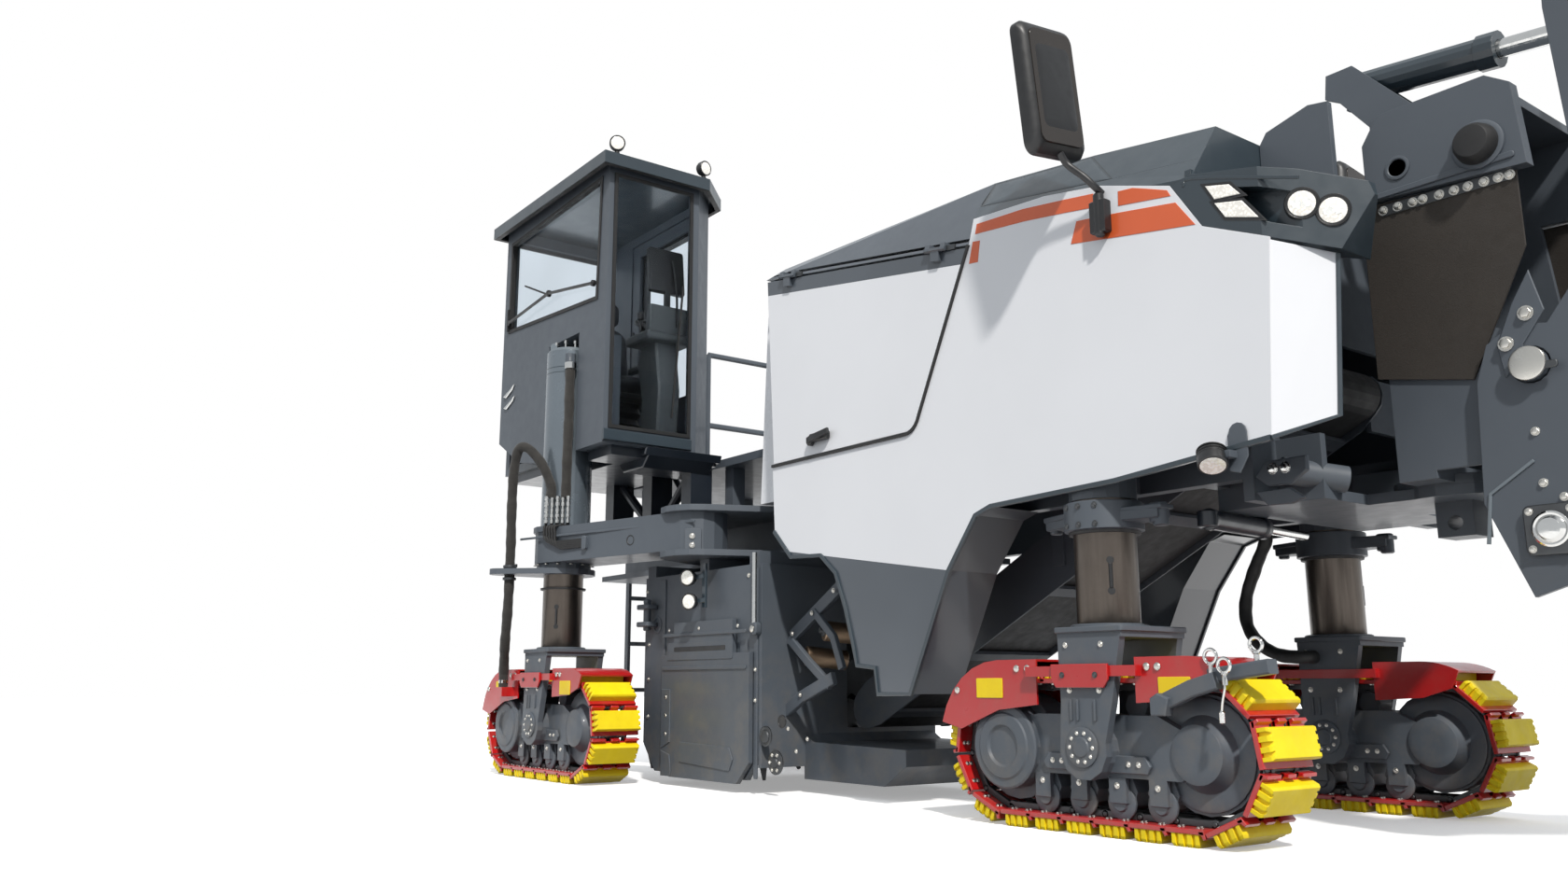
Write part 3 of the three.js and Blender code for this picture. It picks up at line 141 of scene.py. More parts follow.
def smooth_path(points, per=8):
    """Catmull-Rom curve through points, a cubic of t in [0, 1] over each span."""
    p = np.asarray(points, float)
    p = np.vstack([2 * p[0] - p[1], p, 2 * p[-1] - p[-2]])
    t = (np.arange(per) / per)[:, None]
    spans = [0.5 * (2 * b + (c - a) * t + (2 * a - 5 * b + 4 * c - d) * t ** 2
                    + (3 * b - a - 3 * c + d) * t ** 3)
             for a, b, c, d in zip(p, p[1:], p[2:], p[3:])]
    return np.vstack(spans + [p[-2:-1]])


def swept(path, radius, sides=10, section=None):
    """A section carried along a path: each ring is square to the path, and the frame
    turns as little as possible from ring to ring. radius may vary along the path."""
    path = np.asarray(path, float)
    tangent = np.gradient(path, axis=0)
    tangent /= np.linalg.norm(tangent, axis=1, keepdims=True)
    _, side, _ = around(tangent[0])
    sides_of = []
    for direction in tangent:
        side = side - direction * (side @ direction)
        side = side / np.linalg.norm(side)
        sides_of.append(side)
    side = np.array(sides_of)
    up = np.cross(tangent, side)
    section = circle(sides) if section is None else np.asarray(section, float)
    radius = np.broadcast_to(np.asarray(radius, float), (len(path),))[:, None, None]
    rings = path[:, None] + radius * (section[None, :, :1] * side[:, None] + section[None, :,
                                                                                     1:] * up[:, None])
    return loft(rings)


def bar(points, width, height, per=1):
    """A flat bar along a path, its section a rectangle with cut corners."""
    w, h, c = width / 2, height / 2, min(width, height) * 0.12
    section = [(w, -h + c), (w, h - c), (w - c, h), (c - w, h), (-w, h - c), (-w, c - h), (c - w, -h),
               (w - c, -h)]
    return swept(points if per == 1 else smooth_path(points, per), 1.0, section=section)


PLANES = {"xz": ([1, 0, 0], [0, 0, 1], [0, 1, 0]), "xy": ([1, 0, 0], [0, 1, 0], [0, 0, 1]),
          "yz": ([0, 1, 0], [0, 0, 1], [1, 0, 0])}


def shrink(outline, step):
    """Each corner of an outline moves inwards along the sum of its two edge normals."""
    p = np.asarray(outline, float)
    edge = np.roll(p, -1, axis=0) - p
    edge /= np.linalg.norm(edge, axis=1, keepdims=True)
    normal = np.stack([-edge[:, 1], edge[:, 0]], axis=1)
    q = np.roll(p, -1, axis=0)
    area = np.sum(p[:, 0] * q[:, 1] - p[:, 1] * q[:, 0])
    before = np.roll(normal, 1, axis=0)
    total = normal + before
    return p + np.sign(area) * step * total / (1 + np.sum(normal * before, axis=1, keepdims=True))


def plate(outline, plane, low, high, chamfer=1.5):
    """An outline carried from low to high across its plane, with a small chamfer at both faces:
    levels are low, low + c, high - c, high, and the first and last are shrunk by c."""
    u, v, w = (np.array(a, float) for a in PLANES[plane])
    c = min(chamfer, (high - low) * 0.3)
    small, full = shrink(outline, c), np.asarray(outline, float)
    rings = [shape[:, :1] * u + shape[:, 1:] * v + level * w
             for shape, level in ((small, low), (full, low + c), (full, high - c), (small, high))]
    return loft(rings)


def block(low, high, chamfer=2.0):
    """A box between two corners with its edges cut."""
    (x0, y0, z0), (x1, y1, z1) = low, high
    return plate([(x0, y0), (x1, y0), (x1, y1), (x0, y1)], "xy", z0, z1, chamfer)


def arc(x, z, radius, start, stop, steps=6):
    """Points of an arc between two angles in degrees."""
    t = np.radians(np.linspace(start, stop, steps + 1))
    return [(x + radius * a, z + radius * b) for a, b in zip(np.cos(t), np.sin(t))]


def rounded(x0, x1, z0, z1, radius, steps=4):
    """A rectangle with round corners, each a quarter circle."""
    r = radius
    return (arc(x1 - r, z1 - r, r, 0, 90, steps) + arc(x0 + r, z1 - r, r, 90, 180, steps)
            + arc(x0 + r, z0 + r, r, 180, 270, steps) + arc(x1 - r, z0 + r, r, 270, 360, steps))


def copies(part, places, frames=None):
    """One part repeated: copy k is the part's points, turned by frames[k] and moved to places[k]."""
    verts, faces = part
    places = np.asarray(places, float)
    if frames is None:
        moved = verts[None] + places[:, None]
    else:
        moved = np.einsum("kij,nj->kni", np.asarray(frames, float), verts) + places[:, None]
    count = len(verts)
    return moved.reshape(-1, 3), [[i + k * count for i in face] for k in range(len(places))
                                  for face in faces]


def merge(parts):
    """Several parts as one."""
    verts, faces, start = [], [], 0
    for v, f in parts:
        verts.append(v)
        faces.extend([i + start for i in face] for face in f)
        start += len(v)
    return np.vstack(verts), faces


def mirrored(part):
    """The same part on the other side of the middle plane."""
    verts, faces = part
    return verts * [1, -1, 1], [face[::-1] for face in faces]


def both(parts):
    """Parts of the right-hand side and their mirror images."""
    return parts + [mirrored(p) for p in parts]


def hex_head(foot, axis, size, height=None):
    """A washer under a six-sided bolt head with a slightly domed top."""
    height = size * 0.62 if height is None else height
    washer = turned(foot, axis, [(0, size * 0.95), (height * 0.25, size * 0.95)], 14)
    head = turned(foot, axis, [(0, size * 0.66), (height * 0.9, size * 0.66), (height, size * 0.5)], 6)
    return [washer, head]


def bolts_at(points, axis, size, height=None):
    """Bolt heads of one size at several points."""
    return [part for point in points for part in hex_head(point, axis, size, height)]


# ------------------------------------------------------------------ pieces

SHARP_ANGLE = 32


def stand_in_scene(name, data):
    """A new object in the scene, made from a mesh, a camera or a light."""
    item = bpy.data.objects.new(name, data)
    bpy.context.scene.collection.objects.link(item)
    return item


def make_mesh(name, parts, shift=(0, 0, 0)):
    """A mesh in frame metres from parts in working millimetres, moved by shift."""
    verts, faces = merge(parts)
    mesh = bpy.data.meshes.new(name)
    mesh.from_pydata(at(verts + np.asarray(shift, float)).tolist(), [], faces)
    mesh.validate()
    mesh.update()
    return mesh


def outward(mesh):
    """Turns every face of the closed shells outwards."""
    shell = bmesh.new()
    shell.from_mesh(mesh)
    bmesh.ops.recalc_face_normals(shell, faces=shell.faces)
    shell.to_mesh(mesh)
    shell.free()


def piece(name, parts, material, body="chassis", slot=None, shift=(0, 0, 0), soft=True, replaces=()):
    """Joins parts into one named piece, moved by shift, gives it its finish and lets it ride
    on a body. Soft pieces are shaded smooth up to SHARP_ANGLE."""
    mesh = make_mesh(name, parts, shift)
    outward(mesh)
    item = stand_in_scene(name, mesh)
    mesh.materials.append(FINISH[material])
    if soft:
        mesh.shade_smooth()
        mesh.set_sharp_from_angle(angle=np.radians(SHARP_ANGLE))
    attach(item, body)
    if replaces:
        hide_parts(*replaces)
    return item


# ------------------------------------------------------------------ finishes

def srgb(r, g, b):
    """Display values 0-255 to linear light."""
    c = np.array([r, g, b]) / 255
    linear = np.where(c <= 0.04045, c / 12.92, ((c + 0.055) / 1.055) ** 2.4)
    return (*linear.tolist(), 1.0)


def shade(colour, factor):
    """A colour made lighter or darker by a factor."""
    return (*[min(1.0, c * factor) for c in colour[:3]], 1.0)


class Nodes:
    """Short hand for the node tree of a new material, or of another owner that is given."""

    def __init__(self, name, owner=None, output="ShaderNodeOutputMaterial"):
        self.owner = owner or bpy.data.materials.new(name)
        self.owner.use_nodes = True
        self.tree = self.owner.node_tree
        self.tree.nodes.clear()
        self.out = self.add(output)
        self.object = self.add("ShaderNodeTexCoord").outputs["Object"]

    def add(self, kind, inputs=None, **settings):
        node = self.tree.nodes.new(kind)
        for key, value in settings.items():
            setattr(node, key, value)
        for key, value in (inputs or {}).items():
            if isinstance(value, bpy.types.NodeSocket):
                self.tree.links.new(value, node.inputs[key])
            else:
                node.inputs[key].default_value = value
        return node

    def noise(self, scale, detail=4.0, rough=0.55, stretch=None):
        vector = self.object
        if stretch:
            vector = self.add("ShaderNodeMapping", {"Vector": vector, "Scale": stretch}).outputs[0]
        return self.add("ShaderNodeTexNoise", {"Vector": vector, "Scale": scale, "Detail": detail,
                                               "Roughness": rough}).outputs["Fac"]

    def remap(self, value, low, high, to_low=0.0, to_high=1.0):
        return self.add("ShaderNodeMapRange", {"Value": value, "From Min": low, "From Max": high,
                                               "To Min": to_low, "To Max": to_high}).outputs[0]

    def mix(self, factor, a, b):
        return self.add("ShaderNodeMix", {0: factor, 6: a, 7: b}, data_type="RGBA").outputs[2]

    def math(self, kind, a, b=0.0):
        return self.add("ShaderNodeMath", {0: a, 1: b}, operation=kind).outputs[0]

    def normal(self, height=None, distance=0.001, strength=0.3, edge=0.0):
        inputs = {}
        if edge:
            inputs["Normal"] = self.add("ShaderNodeBevel", {"Radius": edge}, samples=4).outputs[0]
        if height is None:
            return inputs["Normal"]
        inputs.update({"Height": height, "Distance": distance, "Strength": strength})
        return self.add("ShaderNodeBump", inputs).outputs[0]

    def finish(self, shader):
        self.tree.links.new(shader.outputs[0], self.out.inputs["Surface"])
        return self.owner

    def principled(self, inputs):
        return self.finish(self.add("ShaderNodeBsdfPrincipled", inputs))


def paint(name, colour, rough=0.35, coat=0.35, metal=0.0, dust=0.25, edge=0.003):
    """Sprayed paint: faint cloudy tone, fine orange-peel bump, a clear coat and a little dust
    low on the machine and in broad patches."""
    n = Nodes(name)
    cloud = n.remap(n.noise(1.7, 3), 0.35, 0.65)
    tone = n.mix(cloud, shade(colour, 0.94), shade(colour, 1.05))
    height = n.add("ShaderNodeSeparateXYZ", {"Vector": n.object}).outputs["Z"]
    low = n.remap(height, 0.0, 0.9, dust, 0.0)
    patch = n.remap(n.noise(9.0, 6, 0.65), 0.45, 0.75)
    base = n.mix(n.math("MULTIPLY", low, patch), tone, srgb(122, 112, 98))
    roughness = n.remap(n.noise(14.0, 5), 0.3, 0.7, rough - 0.05, rough + 0.08)
    bump = n.normal(n.noise(420.0, 2), 0.0004, 0.12, edge)
    return n.principled({
        "Base Color": base, "Roughness": roughness, "Metallic": metal, "Coat Weight": coat,
        "Coat Roughness": 0.12, "Normal": bump})


def moulded(name, colour, rough=0.5, grain=260.0, depth=0.0006, strength=0.3, edge=0.003):
    """Cast plastic or rubber: leathery fine grain with soft rubbed patches."""
    n = Nodes(name)
    rub = n.remap(n.noise(5.0, 5, 0.6), 0.4, 0.7)
    base = n.mix(rub, shade(colour, 0.9), shade(colour, 1.12))
    roughness = n.remap(n.noise(22.0, 4), 0.3, 0.7, rough - 0.07, rough + 0.1)
    bump = n.normal(n.noise(grain, 3, 0.7), depth, strength, edge)
    return n.principled({
        "Base Color": base, "Roughness": roughness, "Normal": bump})


def bare_metal(name, colour, rough=0.3, stretch=(1, 1, 30), streak=18.0, warm=0.35, edge=0.002):
    """Ground or worn metal: fine lines one way, and warm tarnish in broad patches."""
    n = Nodes(name)
    lines = n.noise(streak, 6, 0.6, stretch)
    stain = n.remap(n.noise(3.0, 6, 0.65), 0.42, 0.72, 0.0, warm)
    base = n.mix(stain, colour, shade(colour, 0.55))
    base = n.mix(n.remap(lines, 0.3, 0.7, 0.0, 0.25), base, shade(colour, 0.72))
    roughness = n.remap(lines, 0.3, 0.7, rough - 0.08, rough + 0.12)
    bump = n.normal(lines, 0.0003, 0.2, edge)
    return n.principled({
        "Base Color": base, "Roughness": roughness, "Metallic": 1.0, "Normal": bump})


def safety_glass(name, colour, weight=1.0, rough=0.02):
    """Tinted pane with a faint film of dust that roughens it unevenly."""
    n = Nodes(name)
    film = n.remap(n.noise(6.0, 5), 0.4, 0.8, rough, rough + 0.05)
    tint = n.mix(n.remap(n.noise(1.2, 2), 0.3, 0.7), colour, shade(colour, 0.9))
    return n.principled({
        "Base Color": tint, "Roughness": film, "Transmission Weight": weight, "IOR": 1.12,
        "Specular IOR Level": 0.6})


def lamp_face(name, colour, glow, cell=120.0):
    """Lit lamp behind a ribbed lens: small cells in the lens vary the light."""
    n = Nodes(name)
    cells = n.add("ShaderNodeTexVoronoi", {"Vector": n.object, "Scale": cell}).outputs["Distance"]
    light = n.mix(n.remap(cells, 0.0, 0.6), colour, shade(colour, 0.62))
    return n.principled({
        "Base Color": light, "Roughness": 0.12, "Emission Color": light, "Emission Strength": glow})


def braid(name, colour):
    """Woven sleeve: two crossing wave trains make the weave, and a fold noise both bumps it and paints
    shade into the fold hollows and highlight onto the fold tops.
    """
    n = Nodes(name)
    one = n.add("ShaderNodeTexWave", {"Vector": n.object, "Scale": 60.0, "Distortion": 2.0},
                bands_direction="DIAGONAL").outputs["Fac"]
    two = n.add("ShaderNodeTexWave", {"Vector": n.object, "Scale": 46.0, "Distortion": 2.0},
                bands_direction="Z").outputs["Fac"]
    fold_relief_and_shade = n.noise(26.0, 3)
    # painted shade and highlight: darker where the fold noise is low, lighter where it is high,
    # following the fold bump
    base = n.mix(n.remap(fold_relief_and_shade, 0.35, 0.7), shade(colour, 0.7), shade(colour, 1.35))
    height = n.math("ADD", n.math("MULTIPLY", one, two), fold_relief_and_shade)
    return n.principled({
        "Base Color": base, "Roughness": 0.85, "Sheen Weight": 0.2,
        "Normal": n.normal(height, 0.003, 0.6)})


GREY = srgb(79, 86, 94)
FINISH = {
    "white": paint("white_paint", srgb(238, 240, 244), 0.28, 0.5, dust=0.1),
    "grey": paint("basalt_grey_paint", GREY, 0.52, 0.12, dust=0.5),
    "pale_grey": paint("light_grey_paint", srgb(112, 122, 129), 0.42, 0.3, dust=0.3),
    "dark": paint("dark_teal_paint", srgb(44, 56, 64), 0.34, 0.4, dust=0.1),
    "hood": paint("hood_grey_paint", srgb(76, 83, 91), 0.4, 0.35, dust=0.1),
    # navy is painted shade: a near-black blue given to the cabin mount, cabin base, struts and steering
    # cylinder, which sit in shade under the cabin and the nose
    "navy": paint("navy_painted_shade", srgb(26, 33, 42), 0.4, 0.3, dust=0.1),
    "red": paint("signal_red_paint", srgb(186, 20, 22), 0.32, 0.5, dust=0.35),
    "orange": paint("orange_film", srgb(226, 100, 50), 0.35, 0.3, dust=0.0),
    "yellow": moulded("yellow_polyurethane", srgb(247, 218, 12), 0.5, 150.0, 0.0008, 0.25),
    "plate": moulded("yellow_plate", srgb(250, 214, 18), 0.45, 500.0, 0.0002, 0.1),
    "rubber": moulded("black_rubber", srgb(23, 23, 24), 0.6, 300.0),
    "apron": moulded("brown_black_apron", srgb(47, 42, 37), 0.72, 180.0, 0.002, 0.5),
    "plastic": moulded("black_plastic", srgb(26, 27, 29), 0.4, 420.0, 0.0003, 0.15),
    "steel": bare_metal("ground_steel", srgb(140, 134, 126), 0.33),
    "column": bare_metal("column_steel", srgb(84, 78, 73), 0.34, (6, 6, 0.4), 10.0, 0.5),
    "bright_grey": paint("gloss_grey_paint", srgb(104, 114, 122), 0.22, 0.7, metal=0.35, dust=0.0),
    "chrome": bare_metal("chromed_rod", srgb(205, 205, 203), 0.12, (1, 1, 1), 60.0, 0.05),
    "zinc": bare_metal("zinc_plated", srgb(190, 188, 182), 0.3, (1, 1, 1), 30.0, 0.2),
    "iron": bare_metal("worn_iron", srgb(84, 86, 88), 0.5, (1, 1, 1), 12.0, 0.6),
    "worn": bare_metal("rubbed_bronze_steel", srgb(128, 110, 92), 0.42, (1, 1, 4), 14.0, 0.6),
    "glass": safety_glass("cabin_glass", srgb(236, 242, 247)),
    "back": moulded("glossy_back", srgb(44, 38, 33), 0.16, 900.0, 0.0001, 0.05),
    "mirror": bare_metal("mirror_glass", srgb(196, 204, 210), 0.09, (1, 1, 1), 2.0, 0.1),
    "lamp": lamp_face("lit_lamp", srgb(255, 252, 244), 0.55),
    "seat": moulded("seat_cloth", srgb(52, 54, 58), 0.88, 700.0, 0.001, 0.4),
    "sleeve": braid("braided_sleeve", srgb(42, 40, 37)),
    "screen": moulded("dark_screen", srgb(14, 17, 21), 0.2, 900.0, 0.0001, 0.05),
    "skin": moulded("desk_plastic", srgb(74, 78, 80), 0.5, 380.0, 0.0003, 0.2),
}
NODE_FINISH = {
    "hood": "hood", "chute_skirt": "apron", "milling_drum": "iron", "operator_seat": "seat",
    # cabin_mount takes navy, painted shade under the cabin
    "control_desk": "skin", "lift_cylinder_rod": "chrome", "cabin_mount": "navy", "main_frame": "grey",
    "cabin_roof": "dark", "mirror_right": "plastic", "mirror_left": "plastic", "engine_block": "iron",
    "hose_rear_right": "sleeve", "hose_crawler_rear_right": "sleeve", "slew_console": "grey",
    "rear_cooler": "white",
}
slot_of_node = {part["node"]: part["material_slot"] for part in frame["record"]["subparts"]}
for node_name, node in NODES.items():
    chosen = NODE_FINISH.get(node_name, slot_of_node[node_name])
    for slot in node.material_slots:
        slot.material = FINISH[chosen]


# ------------------------------------------------------------------ camera, light and floor

CAMERA_AT = (2780, -4170, 481)
CAMERA_YAW = 143.65
CAMERA_PITCH = 11.33
LENS = 28.18
SENSOR = 36
SUN_STRENGTH = 3.3
SUN_SPREAD = 3
SUN_WAY = (-0.63, 0.35, -0.69)
SKY_STRENGTH = 0.78
FLOOR_RADII = (0, 2, 4, 7, 12, 20, 35, 60)      # metres
FLOOR_SIDES = 64


def studio():
    """Camera, a warm sun, and a sky that looks white but lights the scene a little cooler."""
    scene = bpy.context.scene
    scene.view_settings.view_transform = "Standard"
    yaw, pitch = np.radians(CAMERA_YAW), np.radians(CAMERA_PITCH)
    ahead = Vector((np.cos(yaw) * np.cos(pitch), np.sin(yaw) * np.cos(pitch), np.sin(pitch)))
    camera = stand_in_scene("camera", bpy.data.cameras.new("camera"))
    camera.location = Vector(at(CAMERA_AT))
    camera.rotation_euler = ahead.to_track_quat("-Z", "Y").to_euler()
    camera.data.lens = LENS
    camera.data.sensor_width = SENSOR
    camera.data.clip_end = 200
    scene.camera = camera

    sun = stand_in_scene("sun", bpy.data.lights.new("sun", "SUN"))
    sun.data.energy = SUN_STRENGTH
    sun.data.angle = np.radians(SUN_SPREAD)
    sun.data.color = (1.0, 0.965, 0.92)
    sun.rotation_euler = Vector(SUN_WAY).to_track_quat("-Z", "Y").to_euler()

    scene.world = bpy.data.worlds.new("studio")
    n = Nodes("studio", scene.world, "ShaderNodeOutputWorld")
    ray = n.add("ShaderNodeLightPath").outputs
    sky = n.add("ShaderNodeBackground", {"Color": (0.93, 0.965, 1.0, 1), "Strength": SKY_STRENGTH})
    white = n.add("ShaderNodeBackground", {"Color": (1, 1, 1, 1), "Strength": 1.0})
    eye = n.math("MAXIMUM", ray["Is Camera Ray"], ray["Is Transmission Ray"])
    n.finish(n.add("ShaderNodeMixShader", {0: eye, 1: sky.outputs[0], 2: white.outputs[0]}))


def floor():
    """A pale round floor under the machine's middle, a flat grid of rings, pure white to the
    eye away from shadows and duller in the light it throws back up."""
    radius = np.array(FLOOR_RADII, float)[:, None, None] / MM
    flat = np.zeros((len(FLOOR_RADII), FLOOR_SIDES, 1))
    points = np.concatenate([radius * circle(FLOOR_SIDES)[None], flat], axis=2)
    low, high = CAD_BOUNDS
    middle = ((low[0] + high[0]) / 2 - ORIGIN[0]) / MM
    mesh = make_mesh("floor", [grid(points, wrap_v=True)], (middle, 0, 0))
    item = stand_in_scene("floor", mesh)
    n = Nodes("floor_white")
    ray = n.add("ShaderNodeLightPath").outputs
    cloud = n.mix(n.remap(n.noise(0.4, 2), 0.3, 0.7), (0.9, 0.9, 0.9, 1), (0.93, 0.93, 0.93, 1))
    seen = n.add("ShaderNodeEmission", {"Color": (1, 1, 1, 1), "Strength": 0.32})
    pale = n.add("ShaderNodeBsdfDiffuse", {"Color": cloud})
    bright = n.add("ShaderNodeAddShader", {0: seen.outputs[0], 1: pale.outputs[0]})
    dull = n.add("ShaderNodeBsdfDiffuse", {"Color": (0.12, 0.12, 0.125, 1)})
    eye = n.math("MAXIMUM", ray["Is Camera Ray"], ray["Is Glossy Ray"])
    choose = n.add("ShaderNodeMixShader", {0: eye, 1: dull.outputs[0], 2: bright.outputs[0]})
    mesh.materials.append(n.finish(choose))


studio()
floor()

# ------------------------------------------------------------------ crawlers

HALF_BASE, PITCH_RADIUS, AXLE_Z, PADS = 395, 215, 275, 21
LAP = 2 * (2 * HALF_BASE + np.pi * PITCH_RADIUS)
PITCH = LAP / PADS


def chain(s):
    """Chain line at distance s: straight below, half circle, straight above, half circle.
    Gives x, z and the outward normal for a whole array of distances."""
    s = np.mod(s, LAP)
    run, bend = 2 * HALF_BASE, np.pi * PITCH_RADIUS
    front = (s - run) / PITCH_RADIUS - np.pi / 2
    rear = (s - 2 * run - bend) / PITCH_RADIUS + np.pi / 2
    parts = [s < run, s < run + bend, s < 2 * run + bend]
    nx = np.select(parts, [0 * s, np.cos(front), 0 * s], np.cos(rear))
    nz = np.select(parts, [0 * s - 1, np.sin(front), 0 * s + 1], np.sin(rear))
    above = HALF_BASE - (s - run - bend)
    cx = np.select(parts, [s - HALF_BASE, 0 * s + HALF_BASE, above], 0 * s - HALF_BASE)
    return cx + PITCH_RADIUS * nx, AXLE_Z + PITCH_RADIUS * nz, nx, nz


def chain_frames(s):
    """Places on the chain and their turns: columns along the chain, across it and outwards."""
    x, z, nx, nz = chain(s)
    zero = np.zeros_like(x)
    frames = np.stack([np.stack([-nz, zero, nx], 1), np.stack([zero, zero + 1, zero], 1),
                       np.stack([nx, zero, nz], 1)], axis=2)
    return np.stack([x, zero, z], axis=1), frames


def toothed_pad():
    """Pad outline with three square teeth cut in each end, lofted up through five levels
    that draw in towards the ground face."""
    half, reach, tooth = 49, 128, 9
    steps = [(-half, 0), (-36, 0), (-36, 1), (-24, 1), (-24, 0), (-7, 0), (-7, 1), (7, 1), (7, 0),
             (24, 0),
             (24, 1), (36, 1), (36, 0), (half, 0)]
    side = [(a, reach - tooth * n) for a, n in steps]
    outline = np.array(side[::-1] + [(a, -y) for a, y in side])
    levels = ((20, 1.0, 1.0), (23, 1.0, 1.0), (50, 1.0, 1.0), (57, 0.93, 0.975), (60, 0.88, 0.96))
    rings = [np.column_stack([outline[:, 0] * a, outline[:, 1] * b, np.full(len(outline), n)])
             for n, a, b in levels]
    return loft(rings)


def shoe_plate():
    """Steel shoe under a pad: a plate with two notches, its leading edge lifted as a lip."""
    cut = 17
    outline = [(-69, -131), (69, -131), (69, -56), (69 - cut, -56), (69 - cut, -22), (69, -22),
               (69, 22),
               (69 - cut, 22), (69 - cut, 56), (69, 56), (69, 131), (-69, 131)]
    lips = [plate([(50, 8), (69, 8), (76, 30), (66, 34), (58, 20), (50, 18)], "xz", a, b, 2)
            for a, b in ((-131, -56), (-22, 22), (56, 131))]
    return [plate(outline, "xy", 3, 20, 2)] + lips


def link_bar(y):
    """Chain link: a waisted side bar with a pin boss at each end."""
    half = PITCH / 2
    outline = (arc(-half, -8, 15, 90, 270, 4) + [(-half + 18, -20), (half - 18, -20)]
               + arc(half, -8, 15, -90, 90, 4) + [(half - 20, 3), (-half + 20, 3)])
    return [plate(outline, "xz", y - 8, y + 8, 2),
            turned([half, y - 12 * np.sign(y), -8], [0, np.sign(y), 0], [(0, 9), (22, 9), (24, 7)], 8)]


CRAWLERS = ("front_right", "front_left", "rear_right", "rear_left")


def crawler_middle(tag):
    """Middle of a crawler's track, on the ground."""
    low, high = corners("track_" + tag)
    return ((low + high) / 2 - ORIGIN) / MM * [1, 1, 0]


def on_crawler(tag):
    """Gives a function that adds pieces drawn round a crawler's middle, and the sign of Y
    that is outwards there."""
    middle = crawler_middle(tag)

    def add(name, parts, material, **rest):
        piece(f"{name}_{tag}", parts, material, "crawler_" + tag, shift=middle, **rest)

    return add, 1 if middle[1] > 0 else -1


def crawler(tag):
    """Pads, shoes, chain and running gear of one crawler."""
    add, out = on_crawler(tag)
    places, frames = chain_frames(HALF_BASE + (np.arange(PADS) + 0.5) * PITCH)

    def chained(name, parts, material, **rest):
        add(name, [copies(merge(parts), places, frames)], material, **rest)

    chained("pads", [toothed_pad()], "yellow", soft=False, replaces=["track_" + tag])
    chained("shoes", shoe_plate(), "red", soft=False)
    pin = turned([PITCH / 2, -70, -8], (0, 1, 0), [(0, 8), (140, 8)], 8)
    chained("links", link_bar(-62) + link_bar(62) + [pin], "iron")
    spots = [(a, y, 3) for y in (-104, -86, 86, 104) for a in (-34, 34)]
    chained("shoe_nuts", bolts_at(spots, (0, 0, -1), 9), "zinc")

    gear, bolts = [], []
    for side in (-1, 1):
        way, hub, web, cheek = (0, side, 0), side * 118, side * 100, side * 168
        gear.append(turned([-HALF_BASE, hub, AXLE_Z], way, [
            (-6, 150), (4, 150), (9, 143), (10, 118), (16, 112), (18, 74), (8, 66), (8, 30)], 32))
        gear.append(turned([HALF_BASE, side * 56, AXLE_Z], way, [
            (-2, 176), (6, 176), (9, 168), (6, 120), (40, 96), (52, 92), (60, 66), (60, 40)], 32))
        bolts += bolts_at([(c - HALF_BASE, hub + side * 10, AXLE_Z + s) for c,
                           s in circle(10, 0.2) * 96],
                          way, 9)
        near, far = sorted((side * 82, side * 101))
        for x in (-240, -80, 80, 240):
            gear.append(turned([x, side * 74, 110], way,
                               [(0, 56), (8, 56), (12, 46), (12, 30), (20, 26), (20, 12)], 18))
            gear.append(block((x - 34, near, 108), (x + 34, far, 192)))
            bolts += hex_head([x, side * 101, 165], way, 11)
        gear.append(plate([(-210, 205), (210, 205), (225, 230), (205, 262), (110, 262), (-110, 262),
                           (-200, 262), (-225, 230)], "xz", *sorted((web, web + side * 14)), 3))
        bolts += bolts_at([(a, web + side * 14, 235) for a in (-180, -140, 140, 180)], way, 10)
        gear.append(turned([0, cheek, AXLE_Z + 10], way,
                           [(-2, 66), (6, 66), (9, 60), (9, 34), (14, 30), (15, 12)], 28))
        bolts += bolts_at([(c, cheek + side * 9, AXLE_Z + 10 + s) for c, s in circle(10) * 48], way,
                          7.5)
        bolts += bolts_at([(a, cheek, z) for a, z in ((-55, 620), (95, 620), (-45, 470), (80, 470))],
                          way, 11)
        for a in (-40, -12, 60):
            gear.append(plate(rounded(a - 4, a + 4, 370, 440, 3, 2), "xz",
                              *sorted((cheek - side, cheek + side * 7)), 1.5))
    gear.append(plate(rounded(-100, 190, -178, 178, 14), "xy", 660, 680, 3))
    gear.append(turned([0, 0, 680], UP, [(-2, 132), (8, 132), (12, 124), (12, 112)], 32))
    add("running_gear", gear, "grey")
    add("gear_bolts", bolts, "zinc")
    guard_trim(add, out)


def guard_trim(add, out):
    """Blank yellow plates, round-headed screws and the handle on the track guards."""
    face, strap, way = out * 148, out * 176.3, (0, out, 0)
    low, high = sorted((face, face + out * 2.5))
    add("guard_plates", [plate(rounded(a, b, 442, 512, 4, 2), "xz", low, high, 0.6)
                         for a, b in ((-500, -370), (300, 420))], "plate")
    add("guard_screws", [turned([a, face, z], way, [(-1, 13), (3, 13), (7, 9), (8, 3)], 14)
                         for a, z in ((-300, 545), (-250, 545), (258, 545), (300, 545), (-600, 470))],
        "zinc")
    low, high = sorted((strap - out, strap + out * 10))
    handle = [(-110, 505), (-90, 478), (110, 478), (130, 505), (130, 556), (-110, 556)]
    add("guard_handle", [plate(handle, "xz", low, high, 2)], "red")
    add("guard_handle_bolts", bolts_at([(a, strap + out * 10, 520) for a in (-60, 80)], way, 11),
        "iron")


for tag in CRAWLERS:
    crawler(tag)


# ------------------------------------------------------------------ columns

COLUMN_RADIUS = 107.5
COLLAR_RADIUS = 137
GUIDE_RADIUS = 135.6


